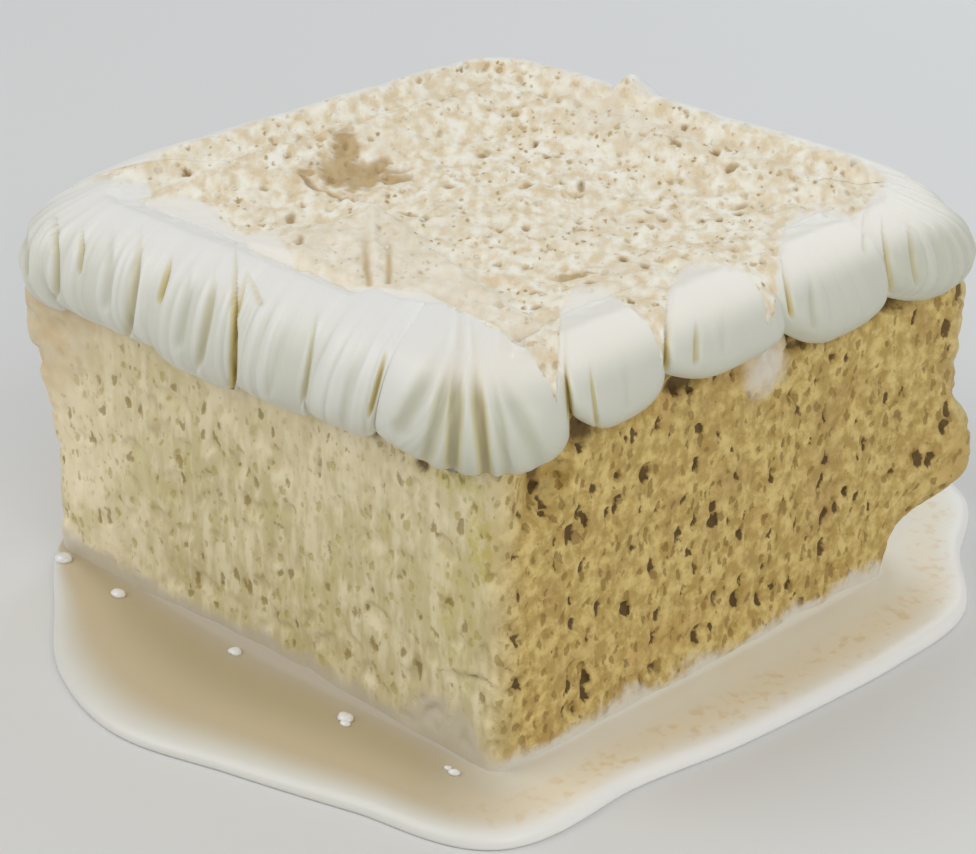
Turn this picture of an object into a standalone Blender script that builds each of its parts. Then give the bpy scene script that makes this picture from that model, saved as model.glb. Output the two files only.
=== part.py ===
"""A square slice of tres leches cake in a thin pool of its own milk.

Four pieces, each a closed solid: the soaked sponge, the flat cream on top of it, the
petals of cream piped round its upper edge, and the milk that has run out round its foot.
The origin is the middle of the sponge's underside, +Z is up, and lengths are in metres.
The slice is seen in its picture from the corner at +X, -Y. Distances round the slice
start at its left corner, at -X, -Y, and run along the face at -Y first.
"""
import math
import random
from collections import namedtuple

import bmesh
import bpy
from mathutils import Matrix, Vector, noise

MM = 0.001
GAP = 0.3 * MM                      # air left between pieces that touch

# The sponge
SIDE = 80 * MM
HALF = SIDE / 2
SPONGE_HEIGHT = 44.6 * MM
SPONGE_CORNER = 2 * MM              # radius of its upright edges
CRUMB_CELLS = 28                    # faces along one side of the sponge
CRUMB_LAYERS = 15
CRUMB_DEPTH = 1.1 * MM
CRUMB_SIZE = 5.5 * MM
TORN_FOOT_REACH = 11 * MM           # the foot of the right corner has crumbled away
TORN_FOOT_DEPTH = 5 * MM
CORNER_BULGES = (                   # (middle, radius, height) of the left and right ones
    (Vector((-40, -40, 34)) * MM, 15 * MM, 2.4 * MM),
    (Vector((40, 40, 33)) * MM, 14 * MM, 1.6 * MM),
    (Vector((40, 40, 16)) * MM, 11 * MM, 2.8 * MM),
)
BULGES_END = 36 * MM                # they stay below the piped cream
HOLE_BY_FRONT_CORNER = Vector((40, -33.2, 34.8)) * MM
HOLE_RADIUS = 4.2 * MM
HOLE_DEPTH = 2.4 * MM

# The flat cream inside the piped edge
EDGE_WIDTH = 10 * MM                # how far the piped edge reaches in over the top
CREAM_CORNER = 3 * MM
CREAM_LEVEL = 48.1 * MM
CREAM_CELLS = 20
CREAM_BUMP = 0.45 * MM
CREAM_BUMP_SIZE = 5 * MM
CREAM_EDGE_RISE = 0.5 * MM          # it slopes up to the piped edge, and more at the far sides
CREAM_EDGE_SLOPE = 11 * MM          # over this far
FOLD_HEIGHT = 1.0 * MM              # a second layer folded over at the front left
FOLD_START = Vector((-12, -10)) * MM
FOLD_END = Vector((28, -24)) * MM
FOLD_SOFTNESS = 2.5 * MM

# The piped edge: each shown petal, all in millimetres but the lean. A petal starts at a crease.
# It hangs below the sponge's top and stands out from its side, less at the crease than in
# the middle, and the crease leans sideways by so much for each millimetre of height.
Petal = namedtuple("Petal", "start crease_hang crease_out hang out lean")
PETALS = (
    Petal(-7.1, 5.1, 2.2, 8.2, 4.0, 0.00),      # round the left corner
    Petal(9.0, 5.6, 2.6, 7.3, 3.3, 0.05),
    Petal(26.5, 6.6, 1.8, 8.6, 3.1, 0.10),
    Petal(39.7, 7.0, 0.9, 7.8, 3.2, 0.15),
    Petal(51.4, 6.5, 1.6, 7.1, 3.3, 0.20),
    Petal(61.8, 4.5, 0.8, 6.8, 3.8, 0.25),      # round the front corner
    Petal(90.0, 1.0, 0.6, 4.3, 3.5, -0.12),
    Petal(103.9, 0.7, 0.5, 3.5, 3.6, 0.05),
    Petal(123.5, 1.8, 0.6, 5.4, 3.6, -0.25),
    Petal(141.0, 2.6, 0.9, 5.7, 3.9, -0.20),    # round the right corner
)
BACK_CORNER_PETAL = Petal(231.0, 3.5, 1.2, 6.5, 4.2, 0.0)
ROUND_THE_SLICE = 4 * SIDE / MM
LAST_SHOWN_CREASE = 163.0
BACK_CORNER_CREASE = 249.0
HIDDEN_PETALS = 4                   # on each side of the back corner's petal
HIDDEN_SEED = 7
COLUMNS_PER_PETAL = 8
FULLNESS = 0.5                      # below 1 a petal is full nearly up to its creases
CREST_HEIGHT = 50.3 * MM
CREST_RISE = 1.7 * MM               # the cream stands higher on the far sides
CREST_DIP = 0.7 * MM                # how much lower the crest is at a crease
DRAWN_TIP = 212 * MM                # a little tip drawn up on the back right side
DRAWN_TIP_HEIGHT = 2 * MM
DRAWN_TIP_WIDTH = 3.5 * MM
PIPED_CORNER = 11 * MM
INSIDE_CORNER = 1.5 * MM

# The milk
MILK_LEVEL = 2 * MM
MILK_CLIMB = 1.3 * MM               # how far it creeps up the sponge
TORN_FOOT_CLIMB = 0.7               # share of the torn foot's depth that milk fills upwards
POOL_COLUMNS = 4 * CRUMB_CELLS      # in line with the sponge's faces
POOL_REACH = (53.1, 55.3, 59.4, 59.2, 64.4, 62.5, 56, 53, 56.7, 61.5, 56.9, 52.4,
              51, 53, 56, 56.4, 56.6, 60, 62, 60.4, 62.3, 67.8, 57.6, 54)


def material(name, colour, roughness):
    """A plain Principled material."""
    made = bpy.data.materials.new(name)
    made.use_nodes = True
    shader = made.node_tree.nodes["Principled BSDF"]
    shader.inputs["Base Color"].default_value = (*colour, 1)
    shader.inputs["Roughness"].default_value = roughness
    shader.inputs["Metallic"].default_value = 0
    return made


def smooth_step(value):
    """0 below 0, 1 above 1 and a smooth rise between."""
    value = min(max(value, 0.0), 1.0)
    return value * value * (3 - 2 * value)


def square_point(distance):
    """The point at a distance round the slice, on a square from -1 to 1."""
    side, along = divmod(distance / SIDE, 1)
    return Matrix.Rotation(side * math.pi / 2, 2) @ Vector((2 * along - 1, -1))


def rounded(point, half, radius):
    """Moves a point of the square from -1 to 1 to a square with rounded corners."""
    ring = max(abs(point.x), abs(point.y))
    if ring == 0:
        return Vector((0, 0))
    along = min(abs(point.x), abs(point.y)) / ring
    straight = 1 - radius / half
    turn = max(0.0, along - straight) / (1 - straight) * math.pi / 4
    far = half - radius + radius * math.cos(turn)
    near = min(along / straight, 1) * (half - radius) + radius * math.sin(turn)
    x, y = (far, near) if abs(point.x) >= abs(point.y) else (near, far)
    return Vector((math.copysign(x, point.x), math.copysign(y, point.y))) * ring


def block(cells, layers):
    """A cube from -1 to 1 cut into even faces, as a bmesh."""
    cube = bmesh.new()
    bmesh.ops.create_cube(cube, size=2)
    for axis, parts in enumerate((cells, cells, layers)):
        edges = [edge for edge in cube.edges
                 if edge.verts[0].co[axis] * edge.verts[1].co[axis] < 0]
        if parts > 1:
            bmesh.ops.subdivide_edges(cube, edges=edges, cuts=parts - 1, use_grid_fill=True)
    return cube


def finish_block(name, cube, flat_sides):
    """Merges the faces of each flat side, down (-1) or up (1), and makes the object."""
    for side in flat_sides:
        cube.normal_update()
        flat = [face for face in cube.faces if face.normal.z * side > 0.999]
        bmesh.ops.dissolve_faces(cube, faces=flat)
    mesh = bpy.data.meshes.new(name)
    cube.to_mesh(mesh)
    cube.free()
    made = bpy.data.objects.new(name, mesh)
    bpy.context.scene.collection.objects.link(made)
    return made


def torn_foot(place):
    """How deep the sponge is torn away at the foot of its right corner."""
    away = (place - Vector((HALF, HALF, 0))).length / TORN_FOOT_REACH
    return TORN_FOOT_DEPTH * smooth_step(1.2 - away)


def crumb_relief(place):
    """How far the sponge's face lies back from its straight sides at a place."""
    lumps = 0.5 + 0.5 * noise.noise(place / CRUMB_SIZE)
    holes = smooth_step(2.5 * noise.noise(place / CRUMB_SIZE * 2 + Vector((9, 0, 0))) - 0.3)
    depth = CRUMB_DEPTH * (0.55 * lumps + 0.45 * holes)
    hole = (place - HOLE_BY_FRONT_CORNER).length / HOLE_RADIUS
    depth += HOLE_DEPTH * smooth_step(1.3 - hole)
    below = smooth_step((BULGES_END - place.z) / (3.3 * MM))
    for middle, radius, height in CORNER_BULGES:
        depth -= height * smooth_step(1.1 - (place - middle).length / radius) * below
    return depth + torn_foot(place)


def make_sponge():
    cube = block(CRUMB_CELLS, CRUMB_LAYERS)
    for vertex in cube.verts:
        square, z = vertex.co.xy, (vertex.co.z + 1) / 2 * SPONGE_HEIGHT
        ring = max(abs(square.x), abs(square.y))
        if ring > 0:
            edge = rounded(square / ring, HALF, SPONGE_CORNER)
            back = crumb_relief(edge.to_3d() + Vector((0, 0, z)))
            square = rounded(square, HALF - back, SPONGE_CORNER)
        vertex.co = (square.x, square.y, z)
    return finish_block("sponge", cube, (-1, 1))


def fold(place):
    """Height of the second layer of cream folded over the first at the front left."""
    line = FOLD_END - FOLD_START
    across = line.cross(place - FOLD_START) / line.length
    ends = smooth_step((place.x - FOLD_START.x) / FOLD_SOFTNESS / 2)
    return FOLD_HEIGHT * smooth_step(0.5 - across / FOLD_SOFTNESS) * ends


def backwards(corner):
    """0 on the shown sides, 1 on the far ones, for a point of the square from -1 to 1."""
    return smooth_step(2 * (corner.y - corner.x) + 0.15)


def edge_rise(place):
    """How far the flat cream has risen at a place on its way to the piped edge."""
    edge = max(abs(place.x), abs(place.y), MM)
    near = smooth_step(1 - (HALF - EDGE_WIDTH - edge) / CREAM_EDGE_SLOPE)
    return near * (CREAM_EDGE_RISE + CREST_RISE * backwards(place / edge))


def make_cream_top():
    half = HALF - EDGE_WIDTH - GAP
    low = SPONGE_HEIGHT + GAP
    cube = block(CREAM_CELLS, 1)
    for vertex in cube.verts:
        place = rounded(vertex.co.xy, half, CREAM_CORNER - GAP)
        bump = CREAM_BUMP * noise.fractal(Vector((*place, 0)) / CREAM_BUMP_SIZE, 0.8, 2, 2)
        level = CREAM_LEVEL + bump + fold(place) + edge_rise(place)
        vertex.co = (place.x, place.y, level if vertex.co.z > 0 else low)
    return finish_block("cream_top", cube, (-1,))


def uneven_petals(start, end, draw):
    """Petals of uneven width that fill a hidden stretch of the edge."""
    width = (end - start) / HIDDEN_PETALS
    for number in range(HIDDEN_PETALS):
        shift = draw.uniform(-0.1, 0.1) * width if number else 0
        yield Petal(start + number * width + shift, draw.uniform(2.5, 4.5), draw.uniform(0.8, 1.6),
                    draw.uniform(5, 7.5), draw.uniform(3.4, 4.2), draw.uniform(-0.1, 0.1))


def all_petals():
    """Every petal round the slice, with the first one again at the end."""
    draw = random.Random(HIDDEN_SEED)
    first_again = PETALS[0]._replace(start=PETALS[0].start + ROUND_THE_SLICE)
    return [*PETALS, *uneven_petals(LAST_SHOWN_CREASE, BACK_CORNER_PETAL.start, draw),
            BACK_CORNER_PETAL, *uneven_petals(BACK_CORNER_CREASE, first_again.start, draw), first_again]


def blend(start, end, part):
    return start + part * (end - start)


def piped_section(hang, out, crest, inner):
    """The hooked outline of the piped edge at one place, from its outermost point upwards.

    Each row gives the half width of its ring, the radius of the ring's corners and z. Its
    inner edge meets the flat cream at the height given as inner.
    """
    low = SPONGE_HEIGHT - hang
    rise = crest - low
    under = SPONGE_HEIGHT + GAP
    return (
        (HALF + 0.6 * MM + out, PIPED_CORNER, low + 0.42 * rise),
        (HALF + 0.4 * MM + 0.86 * out, PIPED_CORNER, low + 0.66 * rise),
        (HALF - 0.2 * MM + 0.55 * out, PIPED_CORNER, low + 0.83 * rise),
        (HALF - 1.8 * MM + 0.3 * out, PIPED_CORNER, low + 0.94 * rise),
        (HALF - 0.48 * EDGE_WIDTH, PIPED_CORNER - 3 * MM, crest),
        (HALF - 0.8 * EDGE_WIDTH, PIPED_CORNER - 6 * MM, crest - 0.3 * MM),
        (HALF - EDGE_WIDTH, CREAM_CORNER, inner),
        (HALF - EDGE_WIDTH, CREAM_CORNER, under),
        (HALF - 0.5 * EDGE_WIDTH, CREAM_CORNER, under),
        (HALF + GAP, INSIDE_CORNER, under),
        (HALF + GAP, INSIDE_CORNER, low + 0.3 * MM),
        (HALF + 0.6 * MM + 0.3 * out, PIPED_CORNER, low),
        (HALF + 0.6 * MM + 0.65 * out, PIPED_CORNER, low + 0.07 * rise),
        (HALF + 0.6 * MM + 0.92 * out, PIPED_CORNER, low + 0.22 * rise),
    )


INSIDE_ROWS = (9, 10)               # rows of the section that follow the sponge and don't lean


def ring(name, columns, rows, place):
    """A closed ring: a torus whose points are moved to place(column, row)."""
    bpy.ops.mesh.primitive_torus_add(major_segments=columns, minor_segments=rows)
    made = bpy.context.object
    made.name = made.data.name = name
    for index, vertex in enumerate(made.data.vertices):
        vertex.co = place(*divmod(index, rows))
    return made


def crest_height(distance, fullness):
    """Height of the piped edge's crest at a place, for how full its petal is there."""
    tip = smooth_step(1 - abs(distance - DRAWN_TIP) / DRAWN_TIP_WIDTH)
    return (CREST_HEIGHT - CREST_DIP * (1 - fullness)
            + CREST_RISE * backwards(square_point(distance)) + DRAWN_TIP_HEIGHT * tip)


def make_piped_border():
    petals = all_petals()
    rows = len(piped_section(0, MM, CREST_HEIGHT, CREAM_LEVEL))

    def place(column, row):
        number, step = divmod(column, COLUMNS_PER_PETAL)
        petal, following = petals[number:number + 2]
        turn = math.pi * step / COLUMNS_PER_PETAL
        part, fullness = (1 - math.cos(turn)) / 2, math.sin(turn) ** FULLNESS
        crease_hang = blend(petal.crease_hang, following.crease_hang, part)
        crease_out = blend(petal.crease_out, following.crease_out, part)
        hang = MM * blend(crease_hang, petal.hang, fullness)
        out = MM * blend(crease_out, petal.out, fullness)
        distance = MM * (blend(petal.start, following.start, part) % ROUND_THE_SLICE)
        crest = crest_height(distance, fullness)
        inner = CREAM_LEVEL + 0.3 * MM + edge_rise(square_point(distance) * (HALF - EDGE_WIDTH))
        half, corner, z = piped_section(hang, out, crest, inner)[row]
        if row not in INSIDE_ROWS:
            lean = blend(petal.lean, following.lean, part)
            distance = (distance + lean * (z - SPONGE_HEIGHT + hang)) % (4 * SIDE)
        point = rounded(square_point(distance), half, corner)
        return point.x, point.y, z

    return ring("piped_border", (len(petals) - 1) * COLUMNS_PER_PETAL, rows, place)


def pool_reach(angle):
    """Distance of the milk's edge from the middle, on a smooth curve through its reaches."""
    count = len(POOL_REACH)
    step, part = divmod(angle / math.tau * count, 1)
    a, b, c, d = (POOL_REACH[(int(step) + offset) % count] for offset in (-1, 0, 1, 2))
    return MM * (b + part * ((c - a) / 2 + part * ((a - 2.5 * b + 2 * c - 0.5 * d)
                 + part * (1.5 * (b - c) + 0.5 * (d - a)))))


def make_milk_pool():
    # (share of the way from the sponge to the milk's edge, share of the milk's depth),
    # from the outermost point upwards
    section = ((1.0, 0.35), (0.97, 0.72), (0.88, 0.95), (0.55, 1.0), (0.25, 1.03),
               (0.1, 1.2), (0.0, None), (0.0, 0.0), (0.5, 0.0), (0.98, 0.0))

    def place(column, row):
        square = square_point(column / POOL_COLUMNS * 4 * SIDE)
        foot = rounded(square, HALF, SPONGE_CORNER)
        climb = MILK_CLIMB + TORN_FOOT_CLIMB * torn_foot(Vector((foot.x, foot.y, 0)))
        share, depth = section[row]
        z = MILK_LEVEL + climb if depth is None else MILK_LEVEL * depth
        if 0 < share < 0.2:
            z += 0.35 * climb
        torn = torn_foot(Vector((foot.x, foot.y, z)))
        inside = rounded(square, HALF + GAP - torn, INSIDE_CORNER)
        angle = math.atan2(square.y, square.x) % math.tau
        outside = Vector((math.cos(angle), math.sin(angle))) * pool_reach(angle)
        point = inside.lerp(outside, share)
        return point.x, point.y, z

    return ring("milk_pool", POOL_COLUMNS, len(section), place)


def main():
    for old in list(bpy.data.objects):
        bpy.data.objects.remove(old)
    slice_parts = bpy.data.collections.new("tres_leches_slice")
    bpy.context.scene.collection.children.link(slice_parts)
    pieces = (
        (make_sponge(), material("soaked_sponge", (0.46, 0.36, 0.18), 0.8)),
        (make_cream_top(), material("cream_top", (0.72, 0.65, 0.5), 0.7)),
        (make_piped_border(), material("piped_cream", (0.75, 0.74, 0.66), 0.5)),
        (make_milk_pool(), material("milk", (0.55, 0.47, 0.33), 0.15)),
    )
    for made, finish in pieces:
        made.data.materials.clear()
        made.data.materials.append(finish)
        made.data.shade_smooth()
        for holder in list(made.users_collection):
            holder.objects.unlink(made)
        slice_parts.objects.link(made)


main()
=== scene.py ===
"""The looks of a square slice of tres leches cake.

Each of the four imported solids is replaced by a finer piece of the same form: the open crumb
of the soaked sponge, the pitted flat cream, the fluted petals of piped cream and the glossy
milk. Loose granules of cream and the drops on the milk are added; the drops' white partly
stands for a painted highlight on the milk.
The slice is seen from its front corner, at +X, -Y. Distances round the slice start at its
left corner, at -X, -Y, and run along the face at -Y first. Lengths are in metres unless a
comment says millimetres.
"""
import bisect
import math
import random
from collections import namedtuple

import bmesh
import bpy
from mathutils import Matrix, Vector, noise


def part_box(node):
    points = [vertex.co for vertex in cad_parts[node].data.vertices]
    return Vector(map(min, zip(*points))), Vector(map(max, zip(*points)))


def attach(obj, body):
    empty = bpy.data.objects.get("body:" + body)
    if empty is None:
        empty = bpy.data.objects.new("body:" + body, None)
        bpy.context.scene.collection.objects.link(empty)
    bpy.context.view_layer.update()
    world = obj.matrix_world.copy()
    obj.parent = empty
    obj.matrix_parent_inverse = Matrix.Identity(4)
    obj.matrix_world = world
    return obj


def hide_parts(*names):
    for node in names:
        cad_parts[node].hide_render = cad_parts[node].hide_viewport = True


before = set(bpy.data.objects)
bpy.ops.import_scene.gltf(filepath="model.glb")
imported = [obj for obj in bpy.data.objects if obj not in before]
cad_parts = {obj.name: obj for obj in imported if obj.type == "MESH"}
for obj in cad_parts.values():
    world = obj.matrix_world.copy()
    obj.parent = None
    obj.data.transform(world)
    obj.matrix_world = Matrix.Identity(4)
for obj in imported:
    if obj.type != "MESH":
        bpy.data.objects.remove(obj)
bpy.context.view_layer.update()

MM = 0.001


def at(*millimetres):
    """A place or sizes, given in millimetres."""
    return Vector(millimetres) * MM


# The sponge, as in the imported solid
SIDE = 80 * MM
HALF = SIDE / 2
SPONGE_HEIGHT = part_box("sponge")[1].z
SPONGE_CORNER = 2 * MM
CRUMB_DEPTH = 1.1 * MM
CRUMB_SIZE = 5.5 * MM
TORN_FOOT_REACH = 11 * MM
TORN_FOOT_DEPTH = 5 * MM
CORNER_BULGES = (                   # (middle, radius, height) of the left and right ones
    (at(-40, -40, 36), 18 * MM, 1.9 * MM),
    (at(40, 40, 34), 15 * MM, 1.5 * MM),
    (at(40, 40, 16), 11 * MM, 2.8 * MM),
)
BULGES_END = 41 * MM                # they end inside the piped cream
HOLLOWS = (                         # (middle, radii, depth, darkness) of hollows in its faces; darkness is how much painted shade darkens each
    (at(40, -33.2, 34.8), at(4.2, 4.2, 4.2), 2.4 * MM, 0.45),
    (at(40, -34.7, 36.5), at(2, 1.4, 4.6), 0.7 * MM, 0.8),
    (at(40, -27.8, 39.8), at(2, 3.3, 2.2), 1.3 * MM, 1.0),
    (at(40, -10.5, 40.4), at(2, 4.0, 1.5), 1.3 * MM, 1.0),
    (at(40, 10.6, 38.8), at(2, 4.0, 0.8), 0.7 * MM, 0.9),
    (at(40, 27.3, 39.4), at(2, 3.6, 1.5), 1.2 * MM, 1.0),
    (at(20.6, -40, 38.0), at(1.2, 2, 1.2), 0.9 * MM, 1.0),
    (at(28.2, -40, 36.0), at(1.3, 2, 1.1), 0.8 * MM, 0.9),
    (at(32.7, -40, 37.2), at(0.8, 2, 0.9), 0.7 * MM, 0.9),
    (at(11.2, -40, 31.0), at(0.6, 2, 2.6), 0.5 * MM, 0.55),
)
STAINS = (                          # (middle, radii, strength) of yellow or orange-brown stains
    (at(37.2, -40, 29.5), at(2.8, 3, 6.6), 1.0),
    (at(33.0, -40, 36.5), at(6.5, 3, 2.8), 0.8),
    (at(33.0, -40, 21.0), at(5.0, 3, 9.0), 0.4),
    (at(40, -13.8, 38.0), at(3, 1.9, 2.6), 0.9),
    (at(40, -13, 9.0), at(3, 7.0, 2.2), 0.8),
    (at(40, 38.5, 15.0), at(5, 3.5, 6.0), 0.9),
    (at(40, 3.0, 19.0), at(3, 2.2, 1.6), 0.7),
)
FOOT_CRACK = (at(35.3, -40, 12.5), at(38.3, -40, 12.9), at(40, -39.8, 12.2), at(40, -37.5, 12.3),
              at(40, -36, 13.3))
FOOT_CRACK_DEPTH = 0.5 * MM
FACE_COLUMNS = (280, 280, 130, 130)  # finer on the two faces that the picture shows
SPONGE_ROWS = 118
WET_BAND = 4.2 * MM                 # the crumb is filled with milk up to about here
WET_AT_SIDES = 0.8                  # and to this share of it on the left and right faces
WET_WEDGE = (32 * MM, 7 * MM, 3.5 * MM)  # (place, half width, height) of more by the front corner
SMOOTH_PATCH = (at(-40, -40, 39), 12 * MM)  # crust without pores at the left corner
SMEAR = (at(40, 4.5, 39), 4.0 * MM)         # cream that has run down the right face
SMEAR_HEIGHT = 0.4 * MM
PORE_TALL = 1.5                     # how many times taller than wide the sponge's pores are

# The flat cream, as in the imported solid
EDGE_WIDTH = 10 * MM
CREAM_LEVEL = 48.1 * MM
CREAM_BUMP = 0.45 * MM
CREAM_BUMP_SIZE = 5 * MM
CREAM_EDGE_RISE = 0.5 * MM
CREAM_EDGE_SLOPE = 11 * MM
RIGHT_RISE = 0.7 * MM               # it rises more to the petals at the right
RIGHT_DROP = 0.5 * MM               # and their tops are lower
CREAM_CORNER = 3 * MM
FOLD_HEIGHT = 1.0 * MM
FOLD_START = at(-12, -10)
FOLD_END = at(28, -24)
FOLD_SOFTNESS = 2.5 * MM
CREAM_CELLS = 230
CREAM_UNDER_EDGE = 1.8 * MM         # how far it runs in under the piped edge
CREAM_RIM_DIP = 0.6 * MM            # how far its rim dips there
CREAM_GRAIN = 2.0                   # its pits and specks are longer front to back by this
TEAR = (at(-23.8, -10.6, 0), at(-20.8, -11.0, 0), at(-17.4, -11.2, 0), at(-14.6, -10.8, 0))
TEAR_WIDTH = 0.45 * MM
PATCHES = (                         # (middle, radii, turn) where the cream has torn and sunk
    (at(-20.8, -4.4), at(5.4, 4.6), math.radians(45)),
    (at(-26.6, -0.8), at(5.6, 1.7), math.radians(139)),
    (at(-20.6, -0.6), at(3.4, 1.2), math.radians(120)),
    (at(-16.8, -1.4), at(2.6, 1.3), math.radians(40)),
    (at(-24.0, -9.6), at(1.5, 0.9), math.radians(60)),
    (at(22.5, -10.2), at(2.1, 1.2), math.radians(50)),
)
PATCH_DEPTH = 0.5 * MM
SPOTS = (                           # (place, radii along and across, turn) of brown spots, in mm
    (-23.6, -16.8, 0.5, 0.4, 135), (-15.2, -20.0, 1.7, 0.35, 135), (-5.6, -27.0, 1.4, 0.3, 135),
    (-6.4, -9.2, 1.2, 0.4, 10), (-3.4, -9.0, 1.2, 0.3, -50), (-9.4, 1.0, 0.8, 0.6, 100),
    (3.3, 28.5, 1.5, 0.35, 150), (9.4, 29.2, 0.5, 0.35, 100), (13.9, 11.7, 0.8, 0.4, -20),
    (17.0, 10.9, 0.5, 0.4, 100), (1.8, 12.8, 1.7, 0.3, 130), (4.2, 9.9, 0.5, 0.4, 100),
    (26.2, -11.4, 0.6, 0.5, 100), (23.0, -17.2, 0.5, 0.4, 100), (26.6, -20.6, 0.6, 0.4, 100),
    (-2.6, 8.2, 0.5, 0.4, 100), (27.6, -4.0, 0.6, 0.4, 130), (21.0, 20.5, 0.9, 0.6, 90),
    (22.6, 18.2, 0.6, 0.4, 130), (14.0, 27.0, 0.8, 0.5, 120), (-8.0, 17.0, 0.9, 0.4, 120),
    (-14.6, 12.0, 0.6, 0.4, 120), (7.0, -2.4, 0.5, 0.3, 130), (12.4, 1.6, 0.4, 0.4, 0),
)
PLEATS = (                          # two grooves in the fold, one on each side of a thin rib
    (at(-4.3, -18.2, 0), at(10.4, -31.0, 0)),
    (at(-2.4, -15.8, 0), at(11.9, -29.4, 0)),
)
PLEAT_WIDTH = 0.3 * MM
PLEAT_DEPTH = 0.3 * MM
PLEAT_RIB = (at(-9.0, -12.6, 0), at(11.1, -30.2, 0))
RIB_WIDTH = 0.5 * MM
RIB_HEIGHT = 0.25 * MM

# The piped edge: each shown petal, in millimetres but the lean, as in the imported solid. Its
# flutes draw together to a share of their width at its top and are so much deeper than most.
Petal = namedtuple("Petal", "start crease_hang crease_out hang out lean fan flutes")
PETALS = (
    Petal(-7.1, 5.1, 2.2, 8.2, 4.0, 0.00, 0.80, 0.8),       # round the left corner
    Petal(9.0, 5.6, 2.6, 7.3, 3.3, 0.05, 0.85, 0.8),
    Petal(26.5, 6.6, 1.8, 8.6, 3.1, 0.10, 0.85, 0.8),
    Petal(39.7, 7.0, 0.9, 7.8, 3.2, 0.15, 0.85, 0.8),
    Petal(51.4, 6.5, 1.6, 7.1, 3.3, 0.20, 0.80, 0.8),
    Petal(61.8, 4.5, 0.8, 6.8, 3.8, 0.25, 0.25, 0.3),       # round the front corner
    Petal(90.0, 1.0, 0.6, 4.3, 3.5, -0.12, 0.60, 0.15),
    Petal(103.9, 0.7, 0.5, 3.5, 3.6, 0.05, 0.60, 0.15),
    Petal(123.5, 1.8, 0.6, 5.4, 3.6, -0.25, 0.60, 0.3),
    Petal(141.0, 2.6, 0.9, 5.7, 3.9, -0.20, 0.80, 0.9),     # round the right corner
)
BACK_CORNER_PETAL = Petal(231.0, 3.5, 1.2, 6.5, 4.2, 0.0, 0.7, 1.0)
HIDDEN_LOOK = (0.75, 0.9)
HIDDEN_WHITE = 2.5                  # how far inwards the white reaches on the hidden sides
# The white cream's upper edge as seen from the front on a board against the petals: places on
# it, in millimetres from its front corner, negative to the left, and heights over the ground
WHITE_TOP = (
    (-90, 53.0), (-78.8, 52.0), (-72.6, 54.5), (-64.7, 57.0), (-59.1, 58.3), (-55.9, 58.4),
    (-54.7, 57.5), (-51.1, 58.5), (-46.7, 59.3), (-44.7, 58.7), (-43.0, 57.7), (-41.4, 56.8),
    (-38.9, 56.9), (-37.0, 57.9), (-35.0, 58.3), (-33.4, 57.9), (-31.8, 56.8), (-30.7, 55.4),
    (-26.7, 55.8), (-23.1, 55.6), (-17.2, 57.0), (-10.4, 58.3), (-5.7, 57.6), (0.0, 57.3),
    (3.9, 54.2), (5.8, 51.1), (7.6, 48.5), (8.3, 46.5), (8.8, 57.0), (10.9, 58.7), (12.9, 58.4),
    (15.0, 57.5), (17.0, 56.1), (20.2, 53.6), (22.6, 51.1), (24.2, 48.2), (25.0, 45.2),
    (25.3, 54.0), (27.2, 56.2), (28.8, 56.3), (32.9, 55.4), (36.3, 54.1), (38.1, 53.2),
    (40.2, 50.8), (41.7, 48.6), (42.4, 45.4), (43.8, 46.0), (44.2, 55.1), (45.0, 57.0),
    (47.2, 57.4), (50.8, 56.8), (53.5, 55.9), (56.3, 54.6), (58.0, 54.4), (59.9, 55.6),
    (61.6, 56.8), (65.3, 57.8), (69.1, 58.2), (76, 58.5), (90, 58.5))
WHITE_SOFTNESS = (                  # how softly the white ends there, in millimetres
    (-90, 2.5), (-57, 2.0), (-46, 1.2), (-32, 1.0), (-29, 0.4), (7, 0.4), (8.5, 0.8), (10.5, 2.2),
    (15, 2.0), (19, 0.8), (25, 0.8), (27, 2.2), (34, 2.0), (38, 0.8), (44, 0.8), (46, 2.2),
    (54, 2.0), (58, 1.0), (60, 1.2), (66, 2.2), (90, 2.5))
RIDGE_REACH = (                     # how far inwards the ridge stands round the front left
    (45, 3.4), (47.6, 5.2), (50, 7.6), (57.2, 7.5), (65.5, 10.2), (75, 9.2), (80, 8.5),
    (82.5, 5.1), (85.5, 3.4))
CRISP_FROM, CRISP_TO = 51.0, 88.0   # where the white ends in a ridge over the flat cream
SWEEP = (                           # millimetres along the edge for each one inwards over its top
    (-30, 0), (-7, -0.9), (10, -0.9), (40, -0.4), (60, 0.1), (80, 0), (90, -0.3), (103, 0),
    (120, 0.4), (140, 0.9), (155, 0.9), (170, 0))
SWEEP_WRAPS = 250                   # from here round the slice the sweep is counted backwards
BOARD = 43.2 * MM                   # the board's distance from the slice's middle
ROUND_THE_SLICE = 4 * SIDE / MM
LAST_SHOWN_CREASE = 163.0
BACK_CORNER_CREASE = 249.0
HIDDEN_PETALS = 4
HIDDEN_SEED = 7
FULLNESS = 0.5
PETAL_SOFTNESS = (                  # how rounded the dip between two petals is, round the slice
    (-7.1, 0.06), (50, 0.06), (63, 0.012), (88, 0.006), (300, 0.006), (312.9, 0.06))
LEFT_END = 5                        # how slowly a petal at the right comes down from its left end
RIGHT_SIDE = (88, 160)              # where those petals start, round the slice
CREST_HEIGHT = 50.3 * MM
CREST_RISE = 1.7 * MM
CREST_DIP = 0.7 * MM
DRAWN_TIP = 212 * MM
DRAWN_TIP_HEIGHT = 2 * MM
DRAWN_TIP_WIDTH = 3.5 * MM
PIPED_CORNER = 11 * MM
INSIDE_CORNER = 1.5 * MM
COLUMN_WIDTH = 0.21                 # millimetres along the shown edge
HIDDEN_COLUMN_WIDTH = 0.36
CROWDING = 0.3                      # how much the columns crowd towards the creases
SECTION_STEPS = (5, 5, 5, 9, 11, 8, 8, 2, 1, 1, 1, 1, 1, 5, 6, 6)  # rows after each control row
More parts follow.
